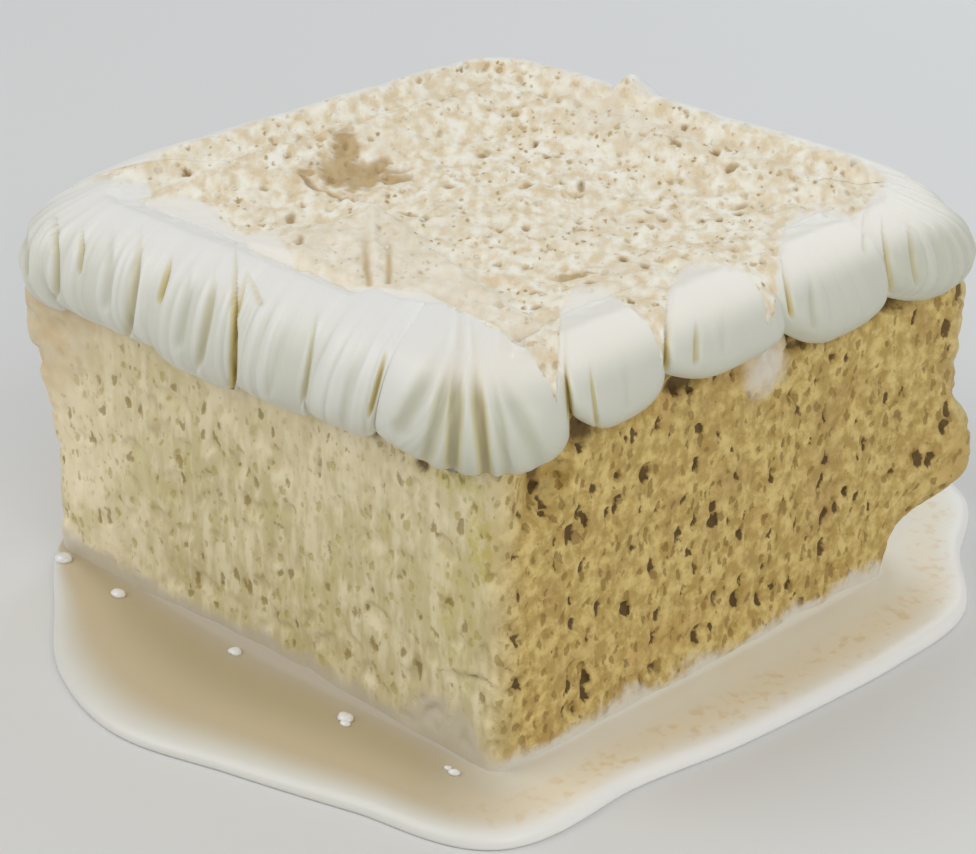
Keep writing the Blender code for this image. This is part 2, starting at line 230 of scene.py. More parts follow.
TOP_ROWS = sum(SECTION_STEPS[:8])
INSIDE_ROWS = range(sum(SECTION_STEPS[:9]), sum(SECTION_STEPS[:13]))

# A finer crease in the piped edge, as seen on the board: its place at its foot and its lean,
# its foot's and its top's height, its depth, its width, and how yellow it is.
Crease = namedtuple("Crease", "start lean foot top depth width tint")
CREASES = [Crease(*row) for row in (
    (-81.2, 0.05, 40, 55, 0.4, 0.8, 0.1), (-75.4, 0.10, 38.8, 55, 0.6, 0.6, 0.35),
    (-70.5, 0.24, 43.5, 52, 0.55, 0.45, 0.6), (-66.0, 0.24, 40, 56, 0.4, 1.0, 0.05),
    (-61.9, 0.27, 37.6, 57, 0.65, 0.8, 0.4), (-55.6, 0.44, 44.1, 53, 0.6, 0.45, 0.9),
    (-52.6, 0.3, 39, 55, 0.4, 1.0, 0.05), (-49.2, 0.32, 37.4, 56, 0.55, 0.7, 0.3),
    (-42.9, 0.094, 36.0, 60, 0.85, 0.45, 1.0), (-41.6, 0.366, 46.4, 55, 0.45, 0.42, 1.0),
    (-37.1, -0.56, 49.0, 54.0, 0.4, 0.75, 0.9), (-36.8, 0.86, 49.4, 53.0, 0.15, 0.6, 0.5),
    (-36.7, 0.28, 38, 51, 0.25, 0.8, 0.1), (-30.9, 0.25, 38.9, 56, 0.5, 0.42, 0.45),
    (-24.7, 0.25, 38, 52, 0.25, 0.9, 0.05), (-20.0, 0.34, 41.0, 53, 0.6, 0.36, 0.9),
    (-15.9, 0.576, 40, 58, 0.55, 1.5, 0.1), (-11.4, 0.33, 38, 60, 0.65, 1.1, 0.25),
    (-7.2, 0.067, 37.5, 62, 0.85, 1.15, 0.45), (-1.7, -0.129, 37.5, 61, 0.8, 1.0, 0.6),
    (1.6, -0.16, 37.5, 56, 0.45, 0.9, 0.1), (6.8, -0.505, 39, 57, 0.4, 1.4, 0.05),
    (10.6, -0.12, 43.2, 56.5, 0.8, 0.36, 1.0), (14.7, -0.17, 41.5, 52, 0.5, 0.3, 0.8),
    (19.5, -0.1, 42, 51, 0.2, 0.9, 0.0), (23.4, 0.1, 50, 56, 0.35, 0.4, 0.8),
    (25.5, 0.04, 44.7, 56.5, 0.8, 0.38, 1.0), (30.5, -0.03, 44.0, 51, 0.5, 0.5, 0.6),
    (35.0, -0.05, 44, 52, 0.2, 0.9, 0.0), (43.2, 0.0, 45, 54, 0.35, 0.4, 0.7),
    (47.0, -0.27, 44.6, 56.5, 0.65, 0.42, 1.0), (51.2, -0.2, 42, 51, 0.35, 0.7, 0.15),
    (59.8, -0.1, 49, 57, 0.4, 0.45, 0.9), (65.7, -0.28, 42.2, 56, 0.65, 0.42, 0.8),
    (70.7, -0.31, 41.8, 55, 0.45, 0.45, 0.5), (76.5, -0.35, 41.8, 53, 0.2, 0.8, 0.1))]
CREASE_WIDEST = 4                   # millimetres each side that a crease is looked for in
HIDDEN_CREASES = 26
FLUTE_WIDTH = 3.0 * MM
FLUTE_DEPTH = 0.25 * MM
WHITE_THICKNESS = 0.3 * MM          # how far a white petal stands over the warm cream

# The milk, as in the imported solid
MILK_LEVEL = 2 * MM
MILK_CLIMB = 1.3 * MM
TORN_FOOT_CLIMB = 0.7
POOL_REACH = (53.1, 55.3, 59.4, 59.2, 64.4, 62.5, 56, 53, 56.7, 61.5, 56.9, 52.4,
              51, 53, 56, 56.4, 56.6, 60, 62, 60.4, 62.3, 67.8, 57.6, 54)
POOL_OUTLINE = (                    # (share of the way outwards, share of the depth)
    (1.0, 0.35), (0.97, 0.72), (0.88, 0.95), (0.55, 1.0), (0.25, 1.03),
    (0.1, 1.2), (0.0, 2.2), (0.0, 0.0), (0.5, 0.0), (0.98, 0.0))
POOL_COLUMNS = 760
POOL_STEPS = (3, 3, 8, 10, 5, 4, 1, 1, 2, 3)
DROPS = (                           # (x, y, radius) of the white drops by the foot, in mm; their white partly stands for a painted highlight
    (-36.0, -41.7, 1.0), (-23.6, -42.7, 0.85), (-2.3, -42.0, 0.75), (18.5, -43.1, 0.85),
    (19.3, -43.9, 0.55), (35.6, -42.6, 0.6), (34.4, -42.3, 0.4),
)
DROP_SHAPE = (1.25, 1, 0.6)
DROP_SEED = 1                       # without one, noise vectors are seeded by the time

# The picture's view: fitted to the slice's edges, so that each lies where the photo has it
CAMERA_PLACE = (0.22803, -0.22973, 0.16684)
CAMERA_TARGET = (-0.00085, -0.00085, 0.01864)
CAMERA_LENS = 104.7
SENSOR_WIDTH = 36


# ---------------------------------------------------------------- shapes shared with the solids

def clamp(value, top=1):
    return min(max(value, 0), top)


def smooth_step(value):
    """0 below 0, 1 above 1 and a smooth rise between."""
    value = clamp(value)
    return value * value * (3 - 2 * value)


def blend(start, end, part):
    return start + part * (end - start)


def stretch(value, low, high):
    """How far a value is from low to high."""
    return (value - low) / (high - low)


def through(value, stops):
    """A value on the straight lines through stops of (place, value)."""
    for (start, low), (end, high) in zip(stops, stops[1:]):
        if value <= end:
            return blend(low, high, clamp(stretch(value, start, end)))
    return stops[-1][1]


def curve(around, part):
    """A point between the middle two of four, on the smooth curve through all of them."""
    a, b, c, d = around
    return b + part * ((c - a) / 2 + part * ((a - 2.5 * b + 2 * c - 0.5 * d)
                                             + part * (1.5 * (b - c) + 0.5 * (d - a))))


def neighbours(items, number):
    """The four items about the stretch from a number to the next, on a closed round."""
    return [items[(number + offset) % len(items)] for offset in (-1, 0, 1, 2)]


def square_point(distance):
    """The point at a distance round the slice, on a square from -1 to 1."""
    side, along = divmod(distance / SIDE, 1)
    return Matrix.Rotation(side * math.pi / 2, 2) @ Vector((2 * along - 1, -1))


def rounded(point, half, radius):
    """Moves a point of the square from -1 to 1 to a square with rounded corners."""
    edge = max(abs(point.x), abs(point.y))
    if edge == 0:
        return Vector((0, 0))
    along = min(abs(point.x), abs(point.y)) / edge
    straight = 1 - radius / half
    turn = max(0.0, along - straight) / (1 - straight) * math.pi / 4
    far = half - radius + radius * math.cos(turn)
    near = min(along / straight, 1) * (half - radius) + radius * math.sin(turn)
    x, y = (far, near) if abs(point.x) >= abs(point.y) else (near, far)
    return Vector((math.copysign(x, point.x), math.copysign(y, point.y))) * edge


def torn_foot(place):
    """How deep the sponge is torn away at the foot of its right corner."""
    away = (place - Vector((HALF, HALF, 0))).length / TORN_FOOT_REACH
    return TORN_FOOT_DEPTH * smooth_step(1.2 - away)


def fold(place):
    """Height of the second layer of cream folded over the first at the front left."""
    line = FOLD_END - FOLD_START
    across = line.cross(place - FOLD_START) / line.length
    ends = smooth_step((place.x - FOLD_START.x) / FOLD_SOFTNESS / 2)
    return FOLD_HEIGHT * smooth_step(0.5 - across / FOLD_SOFTNESS) * ends


def backwards(corner):
    """0 on the shown sides, 1 on the far ones, for a point of the square from -1 to 1."""
    return smooth_step(2 * (corner.y - corner.x) + 0.15)


def rightwards(corner):
    """1 along the shown right side, 0 elsewhere, for a point of the square from -1 to 1."""
    return smooth_step(2 * (corner.x + corner.y)) * (1 - backwards(corner))


def edge_rise(place):
    """How far the flat cream has risen at a place on its way to the piped edge."""
    edge = max(abs(place.x), abs(place.y), MM)
    near = smooth_step(1 - (HALF - EDGE_WIDTH - edge) / CREAM_EDGE_SLOPE)
    rise = CREST_RISE * backwards(place / edge) + RIGHT_RISE * rightwards(place / edge)
    return near * (CREAM_EDGE_RISE + rise)


def cream_level(place):
    """Height of the flat cream at a place, without its fold, tears and pits."""
    bump = CREAM_BUMP * noise.fractal(Vector((*place, 0)) / CREAM_BUMP_SIZE, 0.8, 2, 2)
    return CREAM_LEVEL + bump + edge_rise(place)


def uneven_petals(start, end, draw):
    """Petals of uneven width that fill a hidden stretch of the edge."""
    width = (end - start) / HIDDEN_PETALS
    for number in range(HIDDEN_PETALS):
        shift = draw.uniform(-0.1, 0.1) * width if number else 0
        yield Petal(start + number * width + shift, draw.uniform(2.5, 4.5), draw.uniform(0.8, 1.6),
                    draw.uniform(5, 7.5), draw.uniform(3.4, 4.2), draw.uniform(-0.1, 0.1),
                    *HIDDEN_LOOK)


def all_petals():
    """Every petal round the slice, with the first one again at the end."""
    draw = random.Random(HIDDEN_SEED)
    first_again = PETALS[0]._replace(start=PETALS[0].start + ROUND_THE_SLICE)
    return [*PETALS, *uneven_petals(LAST_SHOWN_CREASE, BACK_CORNER_PETAL.start, draw),
            BACK_CORNER_PETAL, *uneven_petals(BACK_CORNER_CREASE, first_again.start, draw), first_again]


def crest_height(distance, fullness):
    """Height of the piped edge's crest at a place, for how full its petal is there."""
    tip = smooth_step(1 - abs(distance - DRAWN_TIP) / DRAWN_TIP_WIDTH)
    square = square_point(distance)
    return (CREST_HEIGHT - CREST_DIP * (1 - fullness) - RIGHT_DROP * rightwards(square)
            + CREST_RISE * backwards(square) + DRAWN_TIP_HEIGHT * tip)


def pool_reach(angle):
    """Distance of the milk's edge from the middle, on a smooth curve through its reaches."""
    step, part = divmod(angle / math.tau * len(POOL_REACH), 1)
    return MM * curve(neighbours(POOL_REACH, int(step)), part)


# ---------------------------------------------------------------- making meshes

def new_piece(name, data):
    made = bpy.data.objects.new(name, data)
    bpy.context.scene.collection.objects.link(made)
    return made


def new_mesh(name, shape, material=None):
    """A smooth mesh of a finished shape, which is freed."""
    mesh = bpy.data.meshes.new(name)
    shape.to_mesh(mesh)
    shape.free()
    mesh.shade_smooth()
    if material:
        mesh.materials.append(material)
    return mesh


def keep(mesh, name, values):
    """Keeps one number for each vertex under a name that materials and trees can read."""
    mesh.attributes.new(name, "FLOAT", "POINT").data.foreach_set("value", values)


def skin(name, columns, rows, place, closed):
    """A surface of columns round the slice and rows up it, each point given by place.

    Closed, its last row joins its first; open, it gets a flat lid at each end. Besides its
    point, place gives the values that are kept there, by name.
    """
    placed = [place(column, row) for column in range(columns) for row in range(rows)]

    def index(column, row):
        return column % columns * rows + row % rows

    faces = [(index(column, row), index(column + 1, row),
              index(column + 1, row + 1), index(column, row + 1))
             for column in range(columns) for row in range(rows if closed else rows - 1)]
    if not closed:
        faces.append([index(column, 0) for column in reversed(range(columns))])
        faces.append([index(column, rows - 1) for column in range(columns)])
    mesh = bpy.data.meshes.new(name)
    mesh.from_pydata([point for point, values in placed], [], faces)
    mesh.shade_smooth()
    for value in placed[0][1]:
        keep(mesh, value, [values[value] for point, values in placed])
    return new_piece(name, mesh)


def finer_section(section, steps):
    """More rows on the smooth closed curve through a section's control rows."""
    section = [Vector(row) for row in section]
    return [curve(neighbours(section, number), part / parts)
            for number, parts in enumerate(steps) for part in range(parts)]


# ---------------------------------------------------------------- node trees

class Wire:
    """A node's output, which numbers and other wires can be added to, multiplied by and so on."""

    def __init__(self, socket):
        self.socket = socket
        self.tree = socket.id_data

    def __add__(self, other):
        return calc("ADD", self, other)

    def __sub__(self, other):
        return calc("SUBTRACT", self, other)

    def __rsub__(self, other):
        return calc("SUBTRACT", other, self)

    def __mul__(self, other):
        return calc("MULTIPLY", self, other)

    def __truediv__(self, other):
        return calc("DIVIDE", self, other)

    def __rtruediv__(self, other):
        return calc("DIVIDE", other, self)


def new_node(tree, kind, inputs=(), **settings):
    """A node with these settings. An input is named or numbered, and is a wire or a value."""
    made = tree.nodes.new(kind)
    for name, value in settings.items():
        setattr(made, name, value)
    for name, value in dict(inputs).items():
        if isinstance(value, Wire):
            tree.links.new(value.socket, made.inputs[name])
        else:
            made.inputs[name].default_value = value
    return made


def add(tree, kind, inputs=(), output=0, **settings):
    """Adds a node and returns the wire from one of its outputs."""
    return Wire(new_node(tree, kind, inputs, **settings).outputs[output])


def tree_of(*values):
    """The tree that the first wire among some values is in."""
    return next(value.tree for value in values if isinstance(value, Wire))


def calc(operation, *values):
    """A Math node's result."""
    return add(tree_of(*values), "ShaderNodeMath", dict(enumerate(values)), operation=operation)


def vector_calc(operation, *values):
    """A Vector Math node's result."""
    inputs = {0: values[0], "Scale" if operation == "SCALE" else 1: values[1]}
    return add(values[0].tree, "ShaderNodeVectorMath", inputs, operation=operation)


def combine(tree, x, y, z):
    return add(tree, "ShaderNodeCombineXYZ", {"X": x, "Y": y, "Z": z})


def separate(place):
    made = new_node(place.tree, "ShaderNodeSeparateXYZ", {"Vector": place})
    return [Wire(output) for output in made.outputs]


def fade(value, low, high):
    """0 where a value is low, 1 where it is high, smooth between."""
    return add(value.tree, "ShaderNodeMapRange", {"Value": value, "From Min": low, "From Max": high},
               "Result", interpolation_type="SMOOTHSTEP")


def mix(part, first, second):
    """The first number or wire where part is 0, the second where it is 1."""
    return (1.0 - part) * first + part * second


def mix_colour(part, first, second):
    colours = [colour if isinstance(colour, Wire) else (*colour, 1) for colour in (first, second)]
    return add(part.tree, "ShaderNodeMix", {0: part, 6: colours[0], 7: colours[1]}, 2, data_type="RGBA")


def layers(colour, *coats):
    """A colour with coats laid over it in turn, each as (how much it covers, its colour)."""
    for part, coat in coats:
        colour = mix_colour(part, colour, coat)
    return colour


def noise_node(tree, output="Fac", dimensions="3D", **inputs):
    """A Noise Texture with these inputs, which start with capitals."""
    return add(tree, "ShaderNodeTexNoise", inputs, output, noise_dimensions=dimensions)


def waves(place, size, detail=2.0, roughness=0.5):
    """Smooth noise of a size, about 0.5."""
    return noise_node(place.tree, Vector=place, Scale=1 / size, Detail=detail, Roughness=roughness)


def new_group(name, kind, inputs, outputs):
    """A node group, its input wires by name and its output node. Sockets are named by kind."""
    tree = bpy.data.node_groups.new(name, kind)
    for in_out, kinds in (("INPUT", inputs), ("OUTPUT", outputs)):
        for socket_kind, names in kinds.items():
            for socket in names.split(", "):
                tree.interface.new_socket(name=socket, in_out=in_out,
                                          socket_type="NodeSocket" + socket_kind)
    source = new_node(tree, "NodeGroupInput").outputs
    return tree, {socket.name: Wire(socket) for socket in source}, new_node(tree, "NodeGroupOutput")


def crumb_group(kind):
    """The pores and lumps of an open crumb, as a group for shaders or for geometry.

    Each cell of the size given holds a pore up to Width cells in radius, or none where the
    cell's draw is over the share. Pore is 1 in the middle of a pore and 0 between pores. Lump
    is 1 in the middle of a cell and 0 where cells meet.
    """
    tree, source, result = new_group("crumb_" + kind[:8].lower(), kind, {
        "Vector": "Place", "Float": "Size, Tall, Share, Width, Seed"}, {"Float": "Pore, Lump"})
    share = source["Share"]
    place = vector_calc("MULTIPLY", source["Place"], combine(tree, 1.0, 1.0, 1.0 / source["Tall"]))
    place = vector_calc("SCALE", place, 1.0 / source["Size"])
    place = vector_calc("ADD", place, combine(tree, source["Seed"], source["Seed"], 0.0))
    wobble = noise_node(tree, "Color", Vector=place, Scale=2.2, Detail=2.0)
    wobble = vector_calc("SUBTRACT", wobble, (0.5, 0.5, 0.5))
    place = vector_calc("ADD", place, vector_calc("SCALE", wobble, 0.7))
    cells = new_node(tree, "ShaderNodeTexVoronoi", {"Vector": place, "Scale": 1.0}).outputs
    away, draw = Wire(cells["Distance"]), separate(Wire(cells["Color"]))[0]
    spare = calc("SQRT", calc("MAXIMUM", (share - draw) / share, 0.0001))
    pore = 1.0 - fade(away / (spare * source["Width"]), 0.3, 1.0)
    lump = 1.0 - fade(away, 0.05, 0.75)
    tree.links.new(pore.socket, result.inputs["Pore"])
    tree.links.new(lump.socket, result.inputs["Lump"])
    return tree


CRUMB_GROUPS = {kind: crumb_group(kind) for kind in ("ShaderNodeTree", "GeometryNodeTree")}
# The size of a cell, the share of cells with a pore and its width in cells, and the seed
Pattern = namedtuple("Pattern", "size share width seed")
FINE_PORES = Pattern(1.5 * MM, 0.9, 0.52, 3.0)
TINY_PORES = Pattern(1.0 * MM, 0.9, 0.52, 41.0)
COARSE_PORES = Pattern(2.4 * MM, 0.75, 0.50, 11.0)
CRUMB_LUMPS = Pattern(1.9 * MM, 0.5, 0.3, 23.0)
CREAM_PITS = Pattern(1.5 * MM, 0.6, 0.5, 5.0)
CREAM_HOLES = Pattern(2.4 * MM, 0.45, 0.28, 17.0)
CREAM_SPECKS = Pattern(0.9 * MM, 0.5, 0.5, 51.0)
CREAM_CURDS = Pattern(2.1 * MM, 0.5, 0.3, 29.0)
MEDIAN = 0.6                        # lumps and grain stand out above this, and sink below it


def crumb(place, pattern, tall=1.0, output="Pore"):
    """Places the crumb group in a material or a geometry tree and returns its mask."""
    kind = place.tree.bl_idname
    return add(place.tree, kind[:-4] + "Group",
               {"Place": place, "Size": pattern.size, "Tall": tall, "Share": pattern.share,
                "Width": pattern.width, "Seed": pattern.seed},
               output, node_tree=CRUMB_GROUPS[kind])


def named_value(tree, name):
    """Reads a number kept on the mesh, in a geometry tree."""
    return add(tree, "GeometryNodeInputNamedAttribute", {"Name": name}, "Attribute", data_type="FLOAT")


def keep_value(geometry, name, value, kind="FLOAT"):
    """Keeps a number or vector for each vertex, in a geometry tree."""
    return add(geometry.tree, "GeometryNodeStoreNamedAttribute", {
        "Geometry": geometry, "Name": name, "Value": value}, data_type=kind, domain="POINT")


def geometry_group(name, sizes, others=()):
    """A geometry tree with these sizes as inputs, as new_group gives it."""
    inputs = {"Geometry": "Geometry", "Float": sizes, "Material": "Material", **dict(others)}
    return new_group(name, "GeometryNodeTree", inputs, {"Geometry": "Geometry"})


def along_normal(tree, distance):
    return vector_calc("SCALE", add(tree, "GeometryNodeInputNormal"), distance)


def finish_group(geometry, offset, material, result):
    """Moves a geometry and ends its tree in Realize Instances and Set Material."""
    tree = geometry.tree
    moved = add(tree, "GeometryNodeSetPosition", {"Geometry": geometry, "Offset": offset})
    real = add(tree, "GeometryNodeRealizeInstances", {"Geometry": moved})
    smooth = add(tree, "GeometryNodeSetShadeSmooth", {"Geometry": real})
    painted = add(tree, "GeometryNodeSetMaterial", {"Geometry": smooth, "Material": material})
    tree.links.new(painted.socket, result.inputs["Geometry"])
    return tree


def open_crumb_tree(name, fine, coarse, lumps, tall=1.0, long=1.0):
    """Sinks pores and raises lumps where the kept value "open" is above 0.

    The kept value "loose" says how free the surface is to move. Pores are so many times
    taller than wide, or longer from front to back. The place that each point had before is
    kept as "bare_place", so that the material can paint the same pores.
    """
    tree, source, result = geometry_group(
        name, "Fine Depth, Coarse Depth, Lump Height, Grain Height, Grain Size")
    place = add(tree, "GeometryNodeInputPosition")
    if long != 1:
        turn = {"Vector": place, "Angle": math.radians(-45)}
        place = vector_calc("MULTIPLY", add(tree, "ShaderNodeVectorRotate", turn), (1, 1 / long, 1))
    bare = keep_value(source["Geometry"], "bare_place", place, "FLOAT_VECTOR")
    sunk = (crumb(place, fine, tall) * source["Fine Depth"]
            + crumb(place, coarse, tall) * source["Coarse Depth"])
    grain = noise_node(tree, Vector=place, Detail=2.0, Scale=1.0 / source["Grain Size"])
    raised = ((crumb(place, lumps, 1.0, "Lump") - MEDIAN) * source["Lump Height"]
              + (grain - MEDIAN) * source["Grain Height"])
    height = (raised - sunk) * named_value(tree, "open") * named_value(tree, "loose")
    return finish_group(bare, along_normal(tree, height), source["Material"], result)


def flute_tree():
    """Presses flutes into the piped cream, along the kept value "fan", as deep as "fluting"."""
    tree, source, result = geometry_group("flutes", "Flute Width, Flute Depth")
    across = named_value(tree, "fan") / source["Flute Width"]
    ribs = noise_node(tree, dimensions="1D", W=across, Scale=1.0, Detail=1.0, Roughness=0.4)
    away = calc("ABSOLUTE", ribs - 0.5)
    groove = (1.0 - fade(away, 0.0, 0.16)) * named_value(tree, "fluting")
    # the groove is kept for the material, which greys it as painted shade
    grooved = keep_value(source["Geometry"], "groove", groove)
    depth = groove * source["Flute Depth"] * -1.0
    return finish_group(grooved, along_normal(tree, depth), source["Material"], result)


def scatter_tree():
    """Strews small uneven bits over a surface, thicker where the kept value "strewn" is higher."""
    tree, source, result = geometry_group("strewn_bits", "Bit Size, Spacing, Density, Sink",
                                          {"Int": "Seed"})
    size, seed = source["Bit Size"], source["Seed"]
    points = add(tree, "GeometryNodeDistributePointsOnFaces", {
        "Mesh": source["Geometry"], "Distance Min": source["Spacing"],
        "Density Max": source["Density"], "Density Factor": named_value(tree, "strewn"),
        "Seed": seed}, "Points", distribute_method="POISSON")
    bit = add(tree, "GeometryNodeMeshIcoSphere", {"Radius": size, "Subdivisions": 2})
    turn, scale = (add(tree, "FunctionNodeRandomValue", {"Min": low, "Max": high, "Seed": seed},
                       "Value", data_type="FLOAT_VECTOR")
                   for low, high in (((0, 0, 0), (6.28, 6.28, 6.28)), ((0.35, 0.35, 0.3), (1, 1, 0.8))))
    strewn = add(tree, "GeometryNodeInstanceOnPoints", {
        "Points": points, "Instance": bit, "Rotation": turn, "Scale": scale})
    real = add(tree, "GeometryNodeRealizeInstances", {"Geometry": strewn})
    lumpy = noise_node(tree, "Color", Vector=add(tree, "GeometryNodeInputPosition"), Detail=1.0,
                       Scale=0.7 / size)
    lumpy = vector_calc("SCALE", vector_calc("SUBTRACT", lumpy, (0.5, 0.5, 0.5)), size * 1.6)
    down = combine(tree, 0.0, 0.0, source["Sink"] * -1.0)
    return finish_group(real, vector_calc("ADD", lumpy, down), source["Material"], result)


def run_tree(piece, tree, **values):
    """Runs a geometry tree on a piece with these named inputs and keeps the plain mesh it makes."""
    modifier = piece.modifiers.new(tree.name, "NODES")
    modifier.node_group = tree
    for item in tree.interface.items_tree:
        name = item.name.replace(" ", "_").lower()
        if item.in_out == "INPUT" and name in values:
            modifier[item.identifier] = values[name]
    bpy.context.view_layer.update()
    graph = bpy.context.evaluated_depsgraph_get()
    mesh = bpy.data.meshes.new_from_object(
        piece.evaluated_get(graph), preserve_all_data_layers=True, depsgraph=graph)
    piece.modifiers.remove(modifier)
    before, piece.data = piece.data, mesh
    bpy.data.meshes.remove(before)
    mesh.name = piece.name
    return piece


# ---------------------------------------------------------------- materials

def new_material(name, soft=None, **settings):
    """A material with its shader's plain settings, its tree and its shader.

    Soft is how much light goes in under the surface, and how far its red, green and blue go.
    """
    made = bpy.data.materials.new(name)
    made.use_nodes = True
    shader = made.node_tree.nodes["Principled BSDF"]
    if soft:
        settings.update(subsurface_weight=soft[0], subsurface_radius=soft[1], subsurface_scale=1.0)
    for socket, value in settings.items():
        shader.inputs[socket.replace("_", " ").title()].default_value = value
    return made, made.node_tree, shader


def paint(shader, **sources):
    """Links wires to the shader's inputs."""
    for socket, source in sources.items():
        source.tree.links.new(source.socket, shader.inputs[socket.replace("_", " ").title()])


def kept(tree, *names):
    """Reads numbers that are kept on the mesh, in a material."""
    return [add(tree, "ShaderNodeAttribute", output="Fac", attribute_name=name) for name in names]


def kept_place(tree):
    """Reads the place that each point had before pores and lumps moved it."""
    return add(tree, "ShaderNodeAttribute", output="Vector", attribute_name="bare_place")


def object_place(tree):
    return add(tree, "ShaderNodeTexCoord", output="Object")


def relief(height, distance, strength=0.5):
    """Fine relief that the mesh is too coarse for."""
    return add(height.tree, "ShaderNodeBump", {"Height": height, "Distance": distance,
                                               "Strength": strength}, "Normal")


def sponge_material():
    """Moist open crumb: olive-brown pores darkened with painted shade, paler walls, painted shade in
    its hollows, whiter where milk fills it.
    """
    made, tree, shader = new_material("soaked_sponge", (0.08, (0.0012, 0.0008, 0.0004)), roughness=0.75)
    place = kept_place(tree)
    open_part, side, wet, stained, hollow, crust, smear = kept(
        tree, "open", "brown_side", "wet", "stain", "hollow", "crust", "smear")
    fine = open_part * fade(crumb(place, FINE_PORES, PORE_TALL), mix(side, 0.35, 0.1),
                            mix(side, 0.9, 0.55))
    coarse = open_part * fade(crumb(place, COARSE_PORES, PORE_TALL), mix(side, 0.45, 0.15),
                              mix(side, 0.95, 0.6))
    tiny = open_part * crumb(place, TINY_PORES, PORE_TALL)
    streak = waves(vector_calc("MULTIPLY", place, (1, 1, 0.3)), 1.5 * MM, 3.0)
    mottle = waves(place, 1.7 * MM, 4.0, 0.6)
    patchy = waves(place, 7 * MM, 3.0, 0.6)
    x, _, z = separate(place)
    paler = calc("MAXIMUM", fade(x, -12 * MM, -42 * MM), fade(z, 22 * MM, 44 * MM) * 0.75)
    # uneven painted shade in the hollows and the foot crack
    ragged = (mottle - 0.5) * 1.6 + hollow
    fuzzy = (mottle - 0.5) * 0.9 + wet
    # Each colour on the front left face, then on the right one, browner and darker with painted shade
    wall = mix_colour(side, (0.62, 0.53, 0.29), (0.50, 0.34, 0.097))
    light = mix_colour(side, (0.79, 0.70, 0.46), (0.76, 0.58, 0.218))
    shade = mix_colour(side, (0.44, 0.35, 0.08), (0.28, 0.165, 0.035))
    deep = mix_colour(side, (0.27, 0.17, 0.02), (0.10, 0.05, 0.009))
    brownish = mix_colour(side, (0.55, 0.47, 0.19), (0.44, 0.27, 0.09))
    stain = mix_colour(side, (0.57, 0.48, 0.10), (0.58, 0.36, 0.12))
    milky = mix_colour(side, (0.59, 0.53, 0.41), (0.80, 0.765, 0.69))
    tan = mix_colour(fade(patchy, 0.4, 0.6), (0.66, 0.51, 0.29), (0.70, 0.60, 0.42))
    colour = layers(
        mix_colour(fade(mix(side, streak, mottle), 0.36, 0.66), wall, light),
        (paler * 0.85 * (1.0 - side), (0.95, 0.83, 0.59)),
        (fade(patchy, 0.5, 0.7) * 0.5, brownish),
        (stained * fade(mottle, 0.3, 0.6) * 0.8, stain),
        # the pores: partly the crumb's own olive and brown, partly painted shade inside them
        (tiny * 0.3, shade),
        (fine * mix(side, 0.55, 0.65), shade),
        (coarse * mix(side, 0.65, 0.9), deep),
        # painted shade in the hollows and the foot crack
        (fade(ragged, 0.3, 0.9) * 0.9, (0.13, 0.07, 0.015)),
        (crust, tan),
        (smear * 0.85, (0.77, 0.72, 0.64)),
        (fade(fuzzy, 0.1, 0.9) * 0.9, milky))
    height = mottle * 0.6 - (tiny * 0.4 + fine * 0.7)
    paint(shader, base_color=colour, roughness=mix(wet, 0.75, 0.35), normal=relief(height, 0.25 * MM))
    return made


def cream_colours(place):
    """The colour and fine relief of cream where it is open and pitted, as on the flat top."""
    pit, hole, speck = (crumb(place, pattern) for pattern in (CREAM_PITS, CREAM_HOLES, CREAM_SPECKS))
    mottle = waves(place, 1.6 * MM, 3.0)
    browned = fade(waves(place, 5 * MM, 2.0, 0.6), 0.42, 0.58)
    colour = layers(
        mix_colour(fade(mottle, 0.3, 0.7), (0.79, 0.65, 0.425), (1.0, 0.96, 0.83)),
        (fade(waves(place, 8 * MM), 0.45, 0.75) * 0.5, (0.85, 0.76, 0.59)),
        (speck * mix(browned, 0.2, 0.95), (0.44, 0.29, 0.10)),
        (pit * mix(browned, 0.25, 0.75), (0.57, 0.41, 0.17)),
        (hole * mix(browned, 0.4, 0.9), (0.38, 0.24, 0.06)))
    return colour, mottle - (pit + hole)


def cream_top_material():
    """Matt cream, warm white, with small pits and brown where it has torn, its pleats darkened with
    painted shade and a painted highlight on their rib.
    """
    made, tree, shader = new_material("cream_top", (0.15, (0.0015, 0.0012, 0.0009)), roughness=0.7)
    place = kept_place(tree)
    open_part, torn, spot, pleat, rib, white = kept(
        tree, "open", "torn", "spot", "pleat", "rib", "white")
    pitted, height = cream_colours(place)
    streak = waves(vector_calc("MULTIPLY", place, (1, 0.4, 1)), 1.8 * MM)
    smooth = mix_colour(fade(streak, 0.35, 0.65), (0.83, 0.735, 0.565), (0.93, 0.84, 0.69))
    grain = waves(place, 1.5 * MM)
    brown = mix_colour(fade(grain, 0.3, 0.7), (0.43, 0.27, 0.085), (0.58, 0.42, 0.20))
    ragged = (grain - 0.5) * 1.2 + torn
    colour = layers(
        mix_colour(open_part, smooth, pitted),
        (fade(ragged, 0.1, 1.0) * 0.9, brown),
        (spot * 0.8, (0.42, 0.28, 0.10)),
        # the pleats: partly their golden tint, partly painted shade in the grooves
        (pleat * 0.75, (0.54, 0.38, 0.14)),
        # painted highlight on the rib between the pleats
        (rib * 0.7, (0.93, 0.87, 0.72)),
        (white, (0.92, 0.885, 0.80)))
    paint(shader, base_color=colour, normal=relief(height * open_part, 0.25 * MM))
    return made


